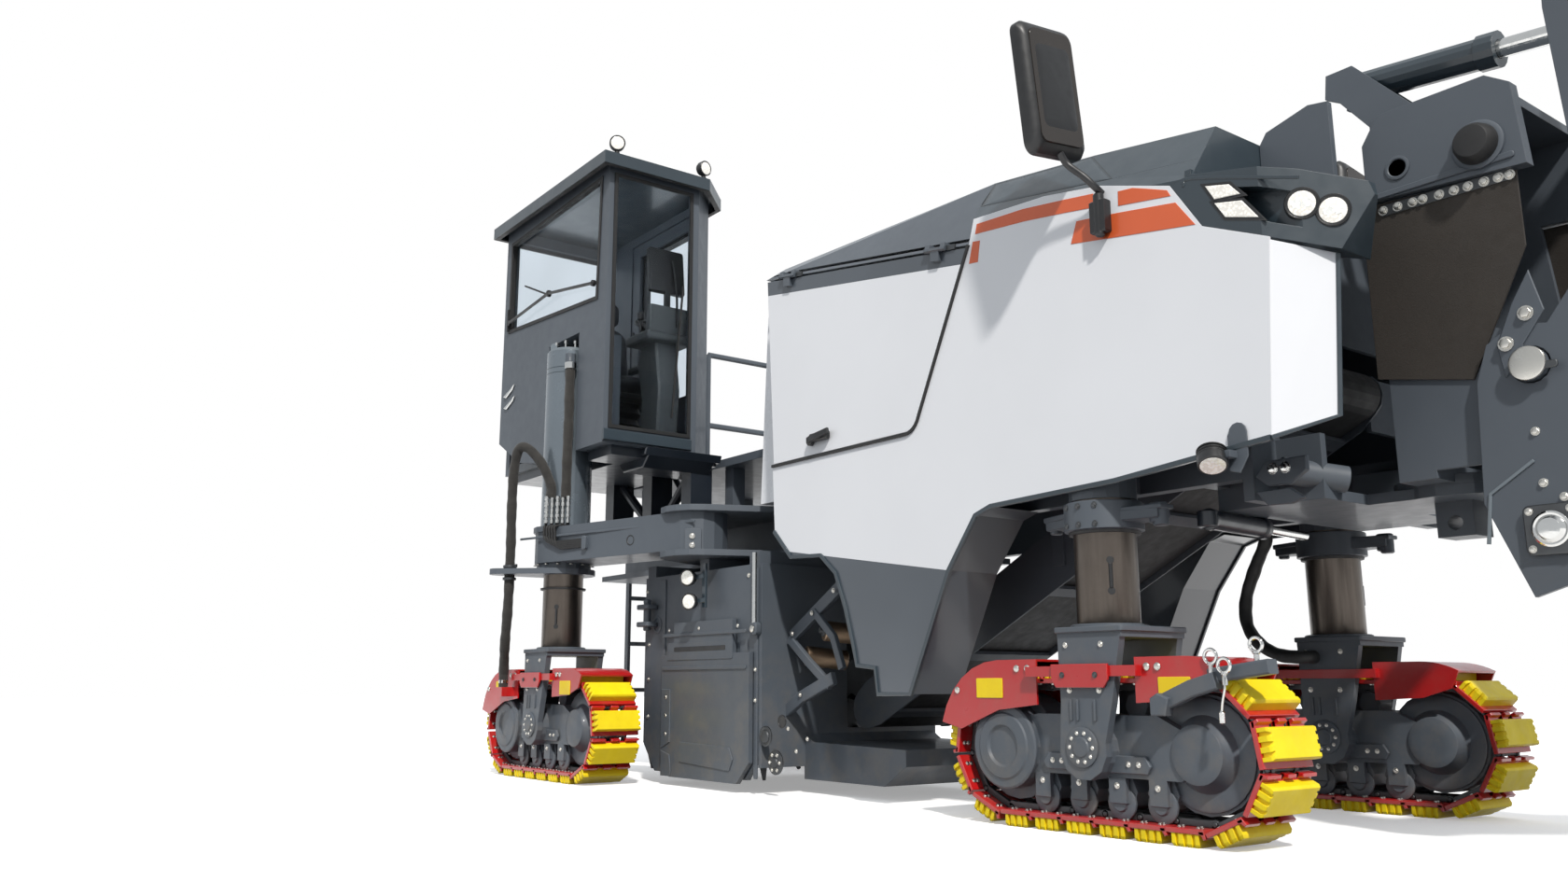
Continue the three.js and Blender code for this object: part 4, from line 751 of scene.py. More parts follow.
def column_trim(tag):
    """Wiper ring of a lifting column and a black slot shape, painted shade for the slot's depth, with
    collar bolts and levers on a front one.
    """
    add, out = on_crawler(tag)
    add("column_ring", [turned([0, 0, 1000], UP, [(0, 112), (0, 122), (10, 124), (10, 112)], 36)],
        "rubber")
    toward = np.array([0.72, out * 0.69, 0])
    face = toward * COLUMN_RADIUS
    # black end discs and bar along the slot: painted shade standing in for its depth
    slot_bar = [turned(face - toward * 3 + [0, 0, z], toward, [(0, 13), (4, 13), (4, 6)], 12)
                for z in (800, 905)]
    slot_bar.append(swept([face + [0, 0, z] for z in (812, 893)], 7, 8))
    add("column_slot_painted_shade", slot_bar, "plastic")
    if tag.startswith("front"):
        spots = [(a, out * np.sqrt(COLLAR_RADIUS ** 2 - a ** 2), z) for z in (1028, 1092)
                 for a in (-60, 0, 60)]
        add("collar_bolts", bolts_at(spots, (0, out, 0), 12), "iron")
        add("steering_lever", [
            plate([(-250, -30), (-120, -70), (-120, 70), (-250, 30)], "xy", 1066, 1086, 3),
            plate([(120, -62), (265, -34), (265, 34), (120, 62)], "xy", 1066, 1082, 3),
            turned([238, 0, 1010], UP, [(0, 20), (4, 26), (76, 26), (80, 20)], 20)], "grey")


for tag in CRAWLERS:
    column_trim(tag)


# ------------------------------------------------------------------ body

SIDE = 860
PANEL_LOWER = [(-1790, 1184), (-1659, 1055), (-1443, 1045), (-1339, 961), (-1274, 809), (-1220, 640),
               (-1201, 568), (-1086, 557), (-1070, 452), (-878, 453), (-646, 920), (-494, 1116),
               (-415, 1141), (160, 1160), (745, 1213)]
DOOR_EDGE = [(-1808, 1492), (-880, 1492)] + arc(-880, 1577, 85, -80, -30, 4) + [(-488, 2190)]


def two_tone(name, lines, inner):
    """White paint that turns grey past straight lines in the side view, and on inner faces.
    Each line is (x, z, slope, side): grey where side * (height over the line) is positive."""
    n = Nodes(name)
    split = n.add("ShaderNodeSeparateXYZ", {"Vector": n.object})
    x, y, z = (split.outputs[k] for k in "XYZ")
    math = n.math
    mask = None
    for x0, z0, slope, side in lines:
        foot = ORIGIN[0] + x0 * MM
        over = math("SUBTRACT", z,
                    math("ADD", math("MULTIPLY", math("SUBTRACT", x, foot), slope), z0 * MM))
        hit = math("GREATER_THAN", math("MULTIPLY", over, side), 0.0)
        mask = hit if mask is None else math("MAXIMUM", mask, hit)
    away = math("ABSOLUTE", math("SUBTRACT", y, ORIGIN[1]))
    inside = math("MULTIPLY", math("LESS_THAN", away, (SIDE - 3) * MM),
                  math("LESS_THAN", x, ORIGIN[0] + inner * MM))
    mask = math("MAXIMUM", mask, inside)
    cloud = n.remap(n.noise(1.7, 3), 0.35, 0.65)
    white = n.mix(cloud, srgb(237, 239, 243), srgb(240, 242, 246))
    grey = n.mix(cloud, shade(GREY, 0.9), shade(GREY, 1.05))
    rough = n.remap(n.noise(14.0, 5), 0.3, 0.7, 0.29, 0.31)
    return n.principled({
        "Base Color": n.mix(mask, white, grey), "Roughness": rough, "Coat Weight": 0.45,
        "Coat Roughness": 0.1,
        "Normal": n.normal(n.noise(420.0, 2), 0.0002, 0.03, 0.003)})


def body_panels():
    """White over grey on the side panels and doors."""
    leg = two_tone("panel_two_tone", [(-1443, 1045, -0.157, -1)], 700)
    door = two_tone("door_two_tone", [(-1861, 2338, -0.1624, 1)], -5000)
    for side in ("right", "left"):
        NODES["side_panel_" + side].material_slots[0].material = leg
        NODES["side_door_" + side].material_slots[0].material = door


def side_sheet(outline, lift=1.2):
    """A thin sheet on the body side; its outline is drawn in the side view."""
    return plate(outline, "xz", -SIDE - lift, -SIDE + 0.2, 0.3)


def body_trim():
    """Stripes, seals, edges, door handles and hinge straps of the body sides."""
    orange = [
        [(-452, 2223), (-441, 2262), (-200, 2246), (0, 2217), (132, 2196), (132, 2144), (0, 2166),
         (-200, 2196)],
        [(236, 2115), (238, 2168), (300, 2160), (356, 2138), (437, 2105), (450, 2080)],
        [(21, 2040), (51, 2118), (150, 2104), (234, 2091), (466, 2052), (536, 1953), (217, 2006)],
        [(-490, 2112), (-466, 2196), (-427, 2190), (-442, 2106)],
    ]
    piece("stripes", both([side_sheet(shape) for shape in orange]), "orange")
    seal = [(x, -SIDE - 4, z) for x, z in DOOR_EDGE]
    edge = [(x, -SIDE - 2, z) for x, z in PANEL_LOWER]
    nose = [(745, -SIDE - 2, 1213), (880, -707, 1278), (918, -705, 1776)]
    piece("door_seals", both([bar(seal, 9, 13)]), "rubber")
    piece("panel_edges", both([bar(edge, 16, 18), bar(nose, 14, 14)]), "dark")
    grip = [plate(rounded(-1500, -1370, 1556, 1592, 10), "xz", -SIDE - 26, -SIDE - 2, 4),
            bar([(-1510, -SIDE - 22, 1566), (-1440, -SIDE - 40, 1570), (-1360, -SIDE - 24, 1588)], 14,
                26, 5),
            turned([-1505, -SIDE, 1562], RIGHT, [(0, 20), (18, 20), (22, 14)], 18)]
    piece("door_handle_right", grip, "plastic", "door_right")
    piece("door_handle_left", [mirrored(p) for p in grip], "plastic", "door_left")
    straps = [bar([(x, -SIDE - 4, z), (x + 130, -SIDE - 4, z - 21)], 8, 20) for x,
              z in ((-1700, 2394), (-690, 2226))]
    piece("hinge_straps", both(straps), "iron")


body_panels()
body_trim()


def facing(part, foot, axis):
    """A part drawn lying flat, its outline in a and b and its height in n, stood on a face:
    point = foot + a side + b up + n axis."""
    axis, side, up = around(axis)
    verts, faces = part
    return np.asarray(foot, float) + verts @ np.array([side, up, axis]), faces


def disc_stack(foot, axis, steps, sides=28):
    """A turned part given as (radius, height) steps, each with a small cut edge."""
    profile, level = [], 0.0
    for radius, height in steps:
        cut = min(2.0, height * 0.3)
        profile += [(level, radius), (level + height - cut, radius), (level + height, radius - cut)]
        level += height
    return turned(foot, axis, profile, sides)


def ring_of(foot, axis, radius, count, size, phase=0.0):
    """Bolts on a circle."""
    direction, side, up = around(axis)
    spots = [np.asarray(foot, float) + c * side + s * up for c, s in circle(count, phase) * radius]
    return bolts_at(spots, direction, size)


# ------------------------------------------------------------------ hoses

def free_hose(name, node, route, body, radius=26.5, finish="sleeve"):
    """A sleeved hose on its route; soft folds vary its radius with the distance s along it:
    r = radius + 1.1 sin(s / 27) + 0.7 sin(s / 11 + 1)."""
    path = smooth_path(route, 14)
    step = np.linalg.norm(np.diff(path, axis=0), axis=1)
    s = np.concatenate([[0], np.cumsum(step)])
    swell = 1.1 * np.sin(s / 27) + 0.7 * np.sin(s / 11 + 1)
    item = piece(name, [swept(path, radius + swell, 20)], finish, body, replaces=[node])


PORT = np.array([-3400.0, -1130.0, 0])
free_hose("sleeve_straight", "hose_rear_right", [
    (-3255, -1205, 2249.7), (-3255, -1205, 2100), (-3252, -1206, 1900), (-3254, -1206, 1700),
    (-3255, -1205, 1600), (-3255, -1205, 1494)], "chassis")
free_hose("sleeve_arched", "hose_rear_right", [
    (-3313, -1268, 1494), (-3313, -1268, 1560), (-3345, -1312, 1680), (-3398, -1372, 1768),
    (-3452, -1402, 1768), (-3482, -1410, 1680), (-3496, -1410, 1560), (-3506, -1405, 1400),
    (-3510, -1400, 1250), (-3510, -1400, 1110.3)], "chassis")
free_hose("sleeve_crawler", "hose_crawler_rear_right", [
    (-3510, -1400, 1079.7), (-3510, -1400, 990), (-3535, -1392, 860), (-3580, -1378, 730),
    (-3650, -1348, 635), (-3694, -1328, 570), (-3700, -1325, 530), (-3700, -1325, 480.3)],
    "crawler_rear_right")
free_hose("hose_front_left", "hose_crawler_front_left", [
    (-200, 570, 1149.7), (-200, 570, 1090), (-268, 588, 985), (-325, 592, 860), (-318, 572, 745),
    (-245, 538, 660), (-145, 512, 612), (-62, 506, 600), (-25, 522, 600), (-20, 545, 600),
    (-20, 561.7, 600)], "crawler_front_left", finish="rubber")


def hose_fittings():
    """Screwed couplings under the sleeves, thin pipes from them, and the clamps."""
    first, last = np.array([-3326.0, -1283, 0]), np.array([-3243.0, -1195, 0])
    couplings, pipes = [], []
    profile = [(0, 7), (2, 11), (20, 11), (22, 8), (31, 8), (33, 12.5), (50, 12.5), (52, 8.5),
               (62, 8.5),
               (64, 11), (82, 11), (84, 8), (94, 8), (96, 12.5), (116, 12.5), (118, 9), (130, 9),
               (132, 12), (148, 12)]
    for k in range(5):
        foot = first + (last - first) * k / 4 + [0, 0, 1350]
        for shift in (0, 1):
            if shift and k in (1, 3):
                continue
            start = foot + np.array([14, -6, 0]) * shift
            couplings.append(turned(start, UP, profile, 12))
        face = -1267 + (foot[0] + 3298) * 0.292 - 16
        low = 1246 - 9 * k
        end = -3035 + 4 * k
        edge = -1267 + (end + 3298) * 0.292 - 12
        pipes.append(swept(smooth_path([
            foot, foot + [0, 0, -10], (foot[0] + 4, min(face, foot[1]) - 2, 1328),
            (foot[0] + 5, face - 2, 1290),
            (foot[0] + 8, face, low + 30), (foot[0] + 40, face + 12, low),
            ((foot[0] + end) / 2, (face + edge) / 2, low - 2),
            (end, edge, low - 2)], 6), 7.5, 10))
    piece("hose_couplings", couplings, "chrome", slot="steel")
    piece("thin_pipes", pipes, "rubber")
    grommet = facing(plate(rounded(-16, 16, -36, 36, 10), "xy", -2, 26, 3), (-3022, -1190, 1224),
                     (0.28, -0.96, 0))
    piece("pipe_entry", [grommet], "grey")
    band = [(0, 29), (2, 33), (36, 33), (38, 29)]
    clamps = [turned((-3255, -1205, 2214), UP, band, 28),
              facing(block((-12, 24, -13), (12, 50, 13)), (-3255, -1205, 2232), (0.8, -0.6, 0)),
              turned((-3255, -1205, 2252), UP,
                     [(0, 24), (8, 30), (26, 30), (30, 22), (48, 22), (52, 12)], 6)]
    piece("sleeve_clamp", clamps, "chrome", slot="steel")
    lobe = [turned((-3510, -1400, z), UP, [(0, 29), (2, 36), (15, 36), (17, 29)], 28)
            for z in (1116, 1050)]
    lobe.append(bar([(-3560, -1404, 1125), (-3440, -1392, 1125)], 10, 18))
    piece("lobe_clamps", lobe, "iron")
    ends = [turned((-3700, -1325, 474), UP, [(0, 15), (2, 24), (26, 24), (28, 29), (44, 29)], 6)]
    piece("sleeve_end", ends, "chrome", "crawler_rear_right", slot="steel")


def swing_arm_trim():
    """Cap, fittings and seams of the guide tube; hole, end plate and bolts of the swing arm."""
    cap = disc_stack(PORT + [0, 0, 2336], UP, [(128, 12), (120, 8)])
    posts = [turned(PORT + [dx, dy, 2356], UP,
                    [(0, 14), (4, 14), (5, 9), (26, 9), (27, 13), (44, 13), (46, 6)], 6)
             for dx, dy in ((62, -64), (-12, -84), (88, -18))]
    hook = facing(plate(rounded(-26, 26, 0, 44, 18), "xy", -5, 5, 2), PORT + [-30, -96, 2354],
                  (0.3, -1, 0))
    piece("guide_tube_cap", [cap, hook], "pale_grey", slot="grey")
    piece("guide_tube_fittings", posts, "chrome", slot="steel")
    seams = [turned(PORT + [0, 0, z], UP, [(0, 134), (1, 136.4), (5, 136.4), (6, 134)], 40)
             for z in (2236, 2206)]
    piece("guide_tube_seams", seams, "dark")
    way = (0.28, -0.96, 0)
    # black disc in the hole: painted shade standing in for its depth
    hole = [turned((-2701, -1107, 1214), way, [(-1, 27), (2.5, 27), (3, 22), (0.5, 20)], 28)]
    piece("arm_hole_painted_shade", hole, "plastic")
    end = (-2309, -978, 1182)
    corner = facing(plate(rounded(-42, 42, -62, 62, 12), "xy", 0.5, 9, 3), end, (0.8, -0.6, 0))
    ribs = [facing(plate([(-640, 58), (640, 58), (640, 70), (-640, 70)], "xy", 0, 8, 2),
                   (-2900, -1160, 1214), way)]
    piece("arm_end_plate", [corner] + ribs, "grey")
    bolts = bolts_at([(-2302, -988, z) for z in (1205, 1160)], (0.8, -0.6, 0), 15)
    bolts += ring_of(PORT + [0, 0, 1130], UP, 156, 14, 11)
    piece("arm_bolts", bolts, "zinc")


# ------------------------------------------------------------------ front cover, lamps and mirrors

def visor_lamps():
    """Lamp strips, spots and lip of the visor, and the work lamps lower down."""
    strips = [[(583, 2068), (668, 2046), (705, 2002), (613, 2014)],
              [(612, 2000), (709, 1978), (762, 1906), (648, 1942)]]
    for name, low, high, grow, finish in (("lamp_strips", -0.5, 7, 0, "lamp"),
                                          ("lamp_strip_frames", -5, 4, -10, "plastic")):
        parts = [plate(shrink(shape, grow), "xz", -862 - high + 4, -862 - low + 4, 2)
                 for shape in strips]
        piece(name, both(parts), finish)
    shells, faces, eyes, stems = [], [], [], []
    for x, y, z in ((853, -770, 1936), (924, -722, 1903)):
        way = np.array([0.5, -0.86, -0.06])
        foot = np.array([x, y, z]) - way * 36
        shells.append(turned(foot, way, [(0, 30), (10, 44), (24, 50), (60, 52), (64, 49), (60, 45)],
                             28))
        faces.append(turned(foot, way, [(50, 46), (58, 45), (60, 40), (61, 10)], 28))
        _, side, _ = around(way)
        eyes += [turned(foot + way * 60 + side * a, way, [(-2, 15), (3, 14), (6, 8)], 16)
                 for a in (-15, 15)]
        stems.append(turned(foot + way * 20 - [0, 0, 70], UP, [(0, 12), (8, 16), (14, 8), (30, 8)], 12))
    piece("spot_shells", both(shells + stems), "plastic")
    piece("spot_faces", both(faces), "lamp")
    piece("spot_lenses", both(eyes), "glass")
    way = np.array([0.3, -0.42, -0.86])
    shell = turned(np.array([568, -905, 1172]) - way * 34, way,
                   [(0, 26), (8, 40), (34, 46), (62, 46), (66, 42)], 30)
    ribs = [turned(np.array([568, -905, 1172]) - way * (26 - 11 * k), way, [(0, 47), (4, 47)], 30)
            for k in range(3)]
    tab = plate([(600, 1130), (636, 1120), (668, 1170), (668, 1240)] + arc(636, 1246, 32, 0, 180,
                                                                           6) + [(600, 1240)],
                "xz", -868, -862, 2)
    piece("work_lamp_shell", both([shell] + ribs), "plastic")
    piece("work_lamp_tab", both([tab, block((596, -905, 1166), (630, -868, 1190))]), "grey")
    piece("work_lamp_face", both([turned(np.array([568, -905, 1172]) + way * 30, way,
                                         [(0, 40), (3, 38), (5, 20)], 30)]), "lamp")
    lip = [(500, 2096), (541, 2112), (900, 1990)]
    fillet = bar([(x, -858, z) for x, z in lip], 8, 10, 4)
    piece("visor_lip", both([fillet]), "dark")


def hood_wings():
    """Plates that carry the hood's side on towards the slewing console, ended short of its swing."""
    outline = [(500, 2160), (500, 2300), (591, 2372), (666, 2410), (752, 2425), (752, 2160)]
    piece("hood_wings", both([plate(outline, "xz", -366, -357, 3)]), "hood")


def mirrors():
    """Mirror head: rings that swell from the glass rim to a domed back, each a rounded
    rectangle of the (y, z) plane."""
    outline = np.array(rounded(-150, 150, -244, 244, 42, 6))
    tilt = np.radians(7)
    turn = np.array([[np.cos(tilt), -np.sin(tilt)], [np.sin(tilt), np.cos(tilt)]])

    def ring(x, wide, tall):
        flat = (outline * [wide, tall]) @ turn.T
        return np.column_stack([np.full(len(flat), float(x)), flat[:, 0] - 1015, flat[:, 1] + 2560])

    swell = ((58, 0.9), (55, 0.96), (60, 1.0), (86, 1.0), (104, 0.94), (117, 0.8), (124, 0.5))
    shell = loft([ring(x, 0.94 * grow, grow) for x, grow in swell])
    pane = loft([ring(x, 0.84, 0.88) for x in (60, 54.5)])
    back = loft([ring(x, 0.74, 0.86) for x in (100, 121)])
    arm = swept(smooth_path([(175, -868, 2180), (172, -905, 2200), (150, -930, 2236), (104, -958, 2290),
                             (95, -985, 2330)], 8), 13, 12)
    post = [block((140, -898, 2030), (205, -862, 2150), 5),
            turned((172, -884, 2020), UP, [(0, 15), (6, 19), (150, 19), (156, 14)], 16)]
    piece("mirror_shells", both([shell]), "plastic", replaces=["mirror_right", "mirror_left"])
    piece("mirror_panes", both([pane]), "mirror")
    piece("mirror_arms", both([arm] + post), "plastic")
    piece("mirror_backs", both([back]), "back")


# ------------------------------------------------------------------ conveyor front

def console_trim():
    """Strips and bolts of the apron; holes, rims, buffers and hook pins of the console."""
    spots = [(881, 2029), (929, 2028), (978, 2027), (1010, 2027), (1062, 2025), (1108, 2024),
             (1150, 2023),
             (1198, 2022), (1240, 2021), (1272, 2019)]
    bolts = bolts_at([(x, -326, z - 14) for x, z in spots], RIGHT, 17)
    bolts += bolts_at([(x, 326, z - 14) for x, z in spots], (0, 1, 0), 17)
    strip = plate([(872, 1996), (1284, 1990), (1284, 2026), (872, 2034)], "xz", -328, -323, 1.5)
    piece("skirt_bolts", bolts, "zinc", "console")
    piece("skirt_strips", both([strip]), "iron", "console")
    hole = turned((949, -346, 2137), RIGHT, [(-1, 40), (3, 40), (4, 31), (1, 28)], 30)
    piece("console_holes", both([hole]), "grey", "console")
    # black disc inside the rim: painted shade standing in for the depth of the hole
    piece("console_hole_painted_shade", both([turned((949, -345, 2137), RIGHT, [(-1, 29), (2, 29)], 30)]),
          "plastic", "console")
    pads = turned((1201, -346, 2122), RIGHT, [(-1, 62), (12, 65), (40, 60), (56, 50), (60, 30)], 32)
    cups = turned((1201, -346, 2122), RIGHT, [(-1, 78), (8, 78), (12, 70), (12, 60)], 32)
    piece("buffers", both([pads]), "rubber", "console")
    piece("buffer_cups", both([cups]), "grey", "console")
    rims = plate(rounded(862, 1300, 2050, 2070, 8), "xz", -351, -344, 2)
    piece("console_rims", both([rims]), "grey", "console")
    pin = turned((1275, -372, 1406), RIGHT, [(-2, 50), (4, 52), (9, 50), (11, 44)], 32)
    keep = plate(rounded(1318, 1356, 1380, 1402, 8), "xz", -380, -371, 2)
    piece("hook_pins", both([pin]), "zinc", "console")
    piece("hook_keepers", both([keep]), "iron", "console")


BOOM_SLOPE = 36.5


def conveyor_trim():
    """Hook cheeks, bearings and lips at the boom's tail, ribs on its sides, cleats on its belt."""
    cheek = [(1205, 1380), (1190, 1480), (1245, 1600), (1300, 1690), (1330, 1560), (1262, 1470),
             (1262, 1440)]
    piece("hook_cheeks", both([plate(cheek, "xz", -356, -349, 2)]), "grey", "conveyor")
    bolts = bolts_at([(1280, -356, 1560), (1217, -356, 1480)], RIGHT, 24)
    bolts += bolts_at([(1265, -349, 1208), (1270, -349, 1056), (1320, -349, 1010)], RIGHT, 14)
    piece("hook_bolts", both(bolts), "zinc", "conveyor")
    square = plate([(x + 1282, z + 921) for x, z in rounded(-72, 72, -72, 72, 18)], "xz", -366, -350, 3)
    piece("bearing_flanges", both([square]), "iron", "conveyor")
    caps = turned((1282, -366, 921), RIGHT,
                  [(-1, 52), (5, 52), (8, 46), (6, 40), (10, 36), (18, 30), (21, 12)], 32)
    piece("bearing_caps", both([caps]), "chrome", "conveyor", slot="steel")
    spots = [(1282 + a, -366, 921 + b) for a, b in ((-54, -54), (54, -54), (54, 54), (-54, 54))]
    piece("bearing_bolts", both(bolts_at(spots, RIGHT, 12)), "zinc", "conveyor")
    lip = bar([(1103, -350, 894), (1123, -350, 1040), (1252, -350, 1124)], 8, 10)
    piece("tail_lips", both([lip]), "pale_grey", "conveyor", slot="grey")
    slope = np.radians(BOOM_SLOPE)
    way = np.array([np.cos(slope), 0, np.sin(slope)])
    square_way = np.array([-way[2], 0, way[0]])
    start = np.array([1282.0, 0, 913])
    ribs, studs = [], []
    for s in np.arange(900, 6700, 640.0):
        foot = start + way * s
        ribs.append(facing(plate(rounded(-12, 12, -112, 112, 10, 3), "xy", 0, 7, 2), foot - [0, 349, 0],
                           RIGHT))
        ends = foot + square_way * 96
        studs += hex_head(np.array([ends[0], -349, ends[2]]), RIGHT, 11)
    piece("boom_ribs", both(ribs), "grey", "conveyor")
    piece("boom_bolts", both(studs), "zinc", "conveyor")
    cleats = []
    for s in np.arange(250, 6800, 230.0):
        foot = start + way * s + square_way * 126
        line = np.array([foot + [abs(y) * -0.28, y, 0] for y in np.linspace(-250, 250, 9)])
        cleats.append(bar(line, 12, 12))
    piece("belt_cleats", cleats, "rubber", "conveyor")


def front_frame():
    """Short diagonal tubes under the nose, their brackets and a steering cylinder."""
    tube = swept([(560, -520, 1176), (695, -368, 1141)], 44, 28)
    piece("nose_tube", both([tube]), "grey")
    bracket = plate([(700, 1196), (560, 1196), (520, 1150), (560, 1116), (640, 1112), (700, 1150)],
                    "xz", -606, -586, 3)
    jaw = plate([(520, 1100), (640, 1100), (690, 1062), (640, 1048), (560, 1050)], "xz", -612, -592, 3)
    piece("nose_brackets", both([bracket, jaw]), "grey")
    nuts = bolts_at([(585, -606, 1168), (628, -606, 1166)], RIGHT, 20)
    piece("nose_bolts", both(nuts), "chrome", slot="steel")
    barrel = turned((300, -560, 1040), (-0.1, 1, 0), [(0, 26), (6, 38), (20, 38), (22, 34), (360, 34),
                                                      (364, 40), (388, 40), (392, 20)], 24)
    rod = turned((262, -180, 1040), (-0.1, 1, 0), [(0, 17), (330, 17)], 18)
    eye = turned((300, -560, 1012), UP, [(0, 30), (4, 34), (52, 34), (56, 30)], 22)
    # barrel and eye in navy: painted shade under the nose
    piece("steering_cylinder", [barrel, eye], "navy")
    piece("steering_rod", [rod], "chrome", slot="steel")


# ------------------------------------------------------------------ milling chamber

def chamber_trim():
    """Ribs, slot, bolts and skid on the right edge plate, which lifts with it, and the lugs,
    rails, hubs, rod and lamps beside it on the chamber wall."""
    face = -850
    ribs = [plate(rounded(-2738, -1985, z - 9, z + 9, 5, 2), "xz", -886, -879, 3) for z in (572, 738)]
    ribs += [plate(rounded(-2690, -2100, 612, 700, 8, 3), "xz", -883, -879, 1.5),
             plate([(-2738, 470), (-2655, 470), (-2655, 210), (-2738, 180)], "xz", -885.5, -879, 2),
             plate([(-2560, 120), (-2120, 96), (-2090, 150), (-2120, 205), (-2560, 215)], "xz", -885,
                   -879, 2),
             plate([(-2738, 44), (-2650, 44), (-2640, 70), (-2655, 150), (-2738, 168)], "xz", -885.5,
                   -879, 2)]
    piece("edge_plate_ribs", ribs, "grey", "edge_right")
    # thin black sheet over the slot: painted shade standing in for the slot's depth
    slot = plate(rounded(-2625, -2160, 655, 677, 4, 2), "xz", -884.5, -882, 0.6)
    piece("edge_plate_slot_painted_shade", [slot], "plastic", "edge_right")
    studs = bolts_at([(-2696, -885, z) for z in (430, 340, 250)], RIGHT, 12, 3)
    studs += bolts_at([(x, -879.5, 765) for x in (-2680, -2400, -2060)], RIGHT, 10, 5)
    piece("edge_plate_bolts", studs, "zinc", "edge_right")
    rails = [plate(rounded(-1959, -1931, 70, 1030, 6, 2), "xz", face - 8, face + 1, 2),
             plate(rounded(-2790, -2762, 620, 1030, 6, 2), "xz", face - 8, face + 1, 2),
             turned((-2850, face, 800), RIGHT, [(-1, 44), (4, 44), (5, 34), (1, 30)], 26)]
    piece("chamber_rails", rails, "grey")
    lugs = [plate([(a - 2900, b - 880) for a, b in rounded(-58, 58, -42, 30, 16)], "xy", z, z + 26, 4)
            for z in (880, 790)]
    lugs += [turned((-2900, -885, 770), UP, [(0, 16), (4, 20), (146, 20), (150, 14)], 20),
             turned((-2900, -885, 916), UP, [(0, 24), (14, 24), (18, 16)], 6)]
    piece("chamber_lugs", lugs, "grey")
    bolts = []
    for x, z in ((-2012, 1000), (-1945, 560), (-1945, 420), (-2960, 980), (-2930, 700), (-2930, 520),
                 (-2930, 330)):
        bolts += hex_head((x, face - (8 if x == -1945 else 0), z), RIGHT, 12)
    hubs = [turned((-1868, face, 262), RIGHT, [(-1, 46), (6, 46), (9, 40), (7, 30), (13, 26), (15, 10)],
                   28),
            turned((-1790, face, 150), RIGHT, [(-1, 54), (6, 54), (9, 46), (9, 24), (16, 20), (17, 8)],
                   28)]
    bolts += ring_of((-1790, face - 9, 150), RIGHT, 37, 6, 9)
    bolts += bolts_at([(-1700, face, 300), (-1640, face, 205), (-1560, face, 260)], RIGHT, 10)
    piece("shoe_hubs", hubs, "iron")
    # black disc for the hole: painted shade standing in for its depth
    piece("shoe_hole_painted_shade", [turned((-1745, face, 330), RIGHT, [(-1, 30), (3, 30), (4, 26), (1, 24)], 26)],
          "plastic")
    piece("chamber_bolts", bolts, "zinc")
    rod = turned((-1934, -872, 770), UP, [(0, 12), (330, 12)], 20)
    piece("plate_lift_rod", [rod], "chrome", slot="steel")
    clevis = [plate(rounded(-1958, -1904, 716, 776, 20), "xz", -884, -851, 4)]
    piece("plate_lift_clevis", clevis, "grey")
    pin = turned((-1934, -884, 745), RIGHT, [(-1, 16), (5, 16), (7, 12)], 20)
    piece("plate_lift_pin", [pin], "zinc")
    shells, faces, arms = [], [], []
    for x, z in ((-2393, 1010), (-2376, 892)):
        way = np.array([0.42, -0.9, -0.06])
        foot = np.array([x, -948, z]) - way * 30
        shells.append(turned(foot, way, [(0, 22), (8, 34), (24, 40), (44, 42), (48, 38), (44, 34)], 26))
        faces.append(turned(foot, way, [(36, 36), (44, 35), (47, 24), (48, 8)], 26))
        arms.append(bar([(x + 10, -930, z), (x + 72, -906, z + 6)], 10, 22))
    arms.append(bar([(-2314, -904, 860), (-2314, -904, 1076)], 12, 30))
    piece("side_lamp_shells", shells, "plastic")
    piece("side_lamp_faces", faces, "lamp")
    piece("side_lamp_bracket", arms, "dark")


def pickup_frame():
    """Rollers and braces along the side of the pick-up conveyor, in the open space behind
    the body leg."""
    lines = [[(-1990, -700, 330), (-1791, -700, 436), (-1560, -700, 520)],
             [(-1880, -690, 712), (-1490, -690, 941)]]
    parts = [bar(line, 26, 56) for line in lines]
    parts += [bar([(-1886, -700, 700), (-1740, -700, 590), (-1585, -700, 486)], 24, 40),
              bar([(-1700, -700, 820), (-1560, -700, 700), (-1500, -700, 560)], 24, 36)]
    piece("pickup_braces", parts, "grey")
    rolls, ends = [], []
    for x, z in ((-1800, 622), (-1660, 732)):
        rolls.append(turned((x, -676, z), (0.35, 0.93, -0.1), [(0, 40), (4, 46), (196, 46), (200, 40)],
                            24))
        ends.append(turned((x, -676, z), (-0.35, -0.93, 0.1), [(-2, 26), (8, 26), (10, 14), (22, 14)],
                           20))
    piece("pickup_rollers", rolls, "worn")
    piece("pickup_roller_ends", ends, "iron")
    spots = ((-1850, 724), (-1700, 812), (-1540, 905), (-1790, 445))
    nuts = bolts_at([(x, -716, z) for x, z in spots], RIGHT, 12)
    piece("pickup_bolts", nuts, "zinc")


hose_fittings()
swing_arm_trim()
visor_lamps()
hood_wings()
mirrors()
console_trim()
conveyor_trim()
front_frame()
chamber_trim()
pickup_frame()


# ------------------------------------------------------------------ smooth columns

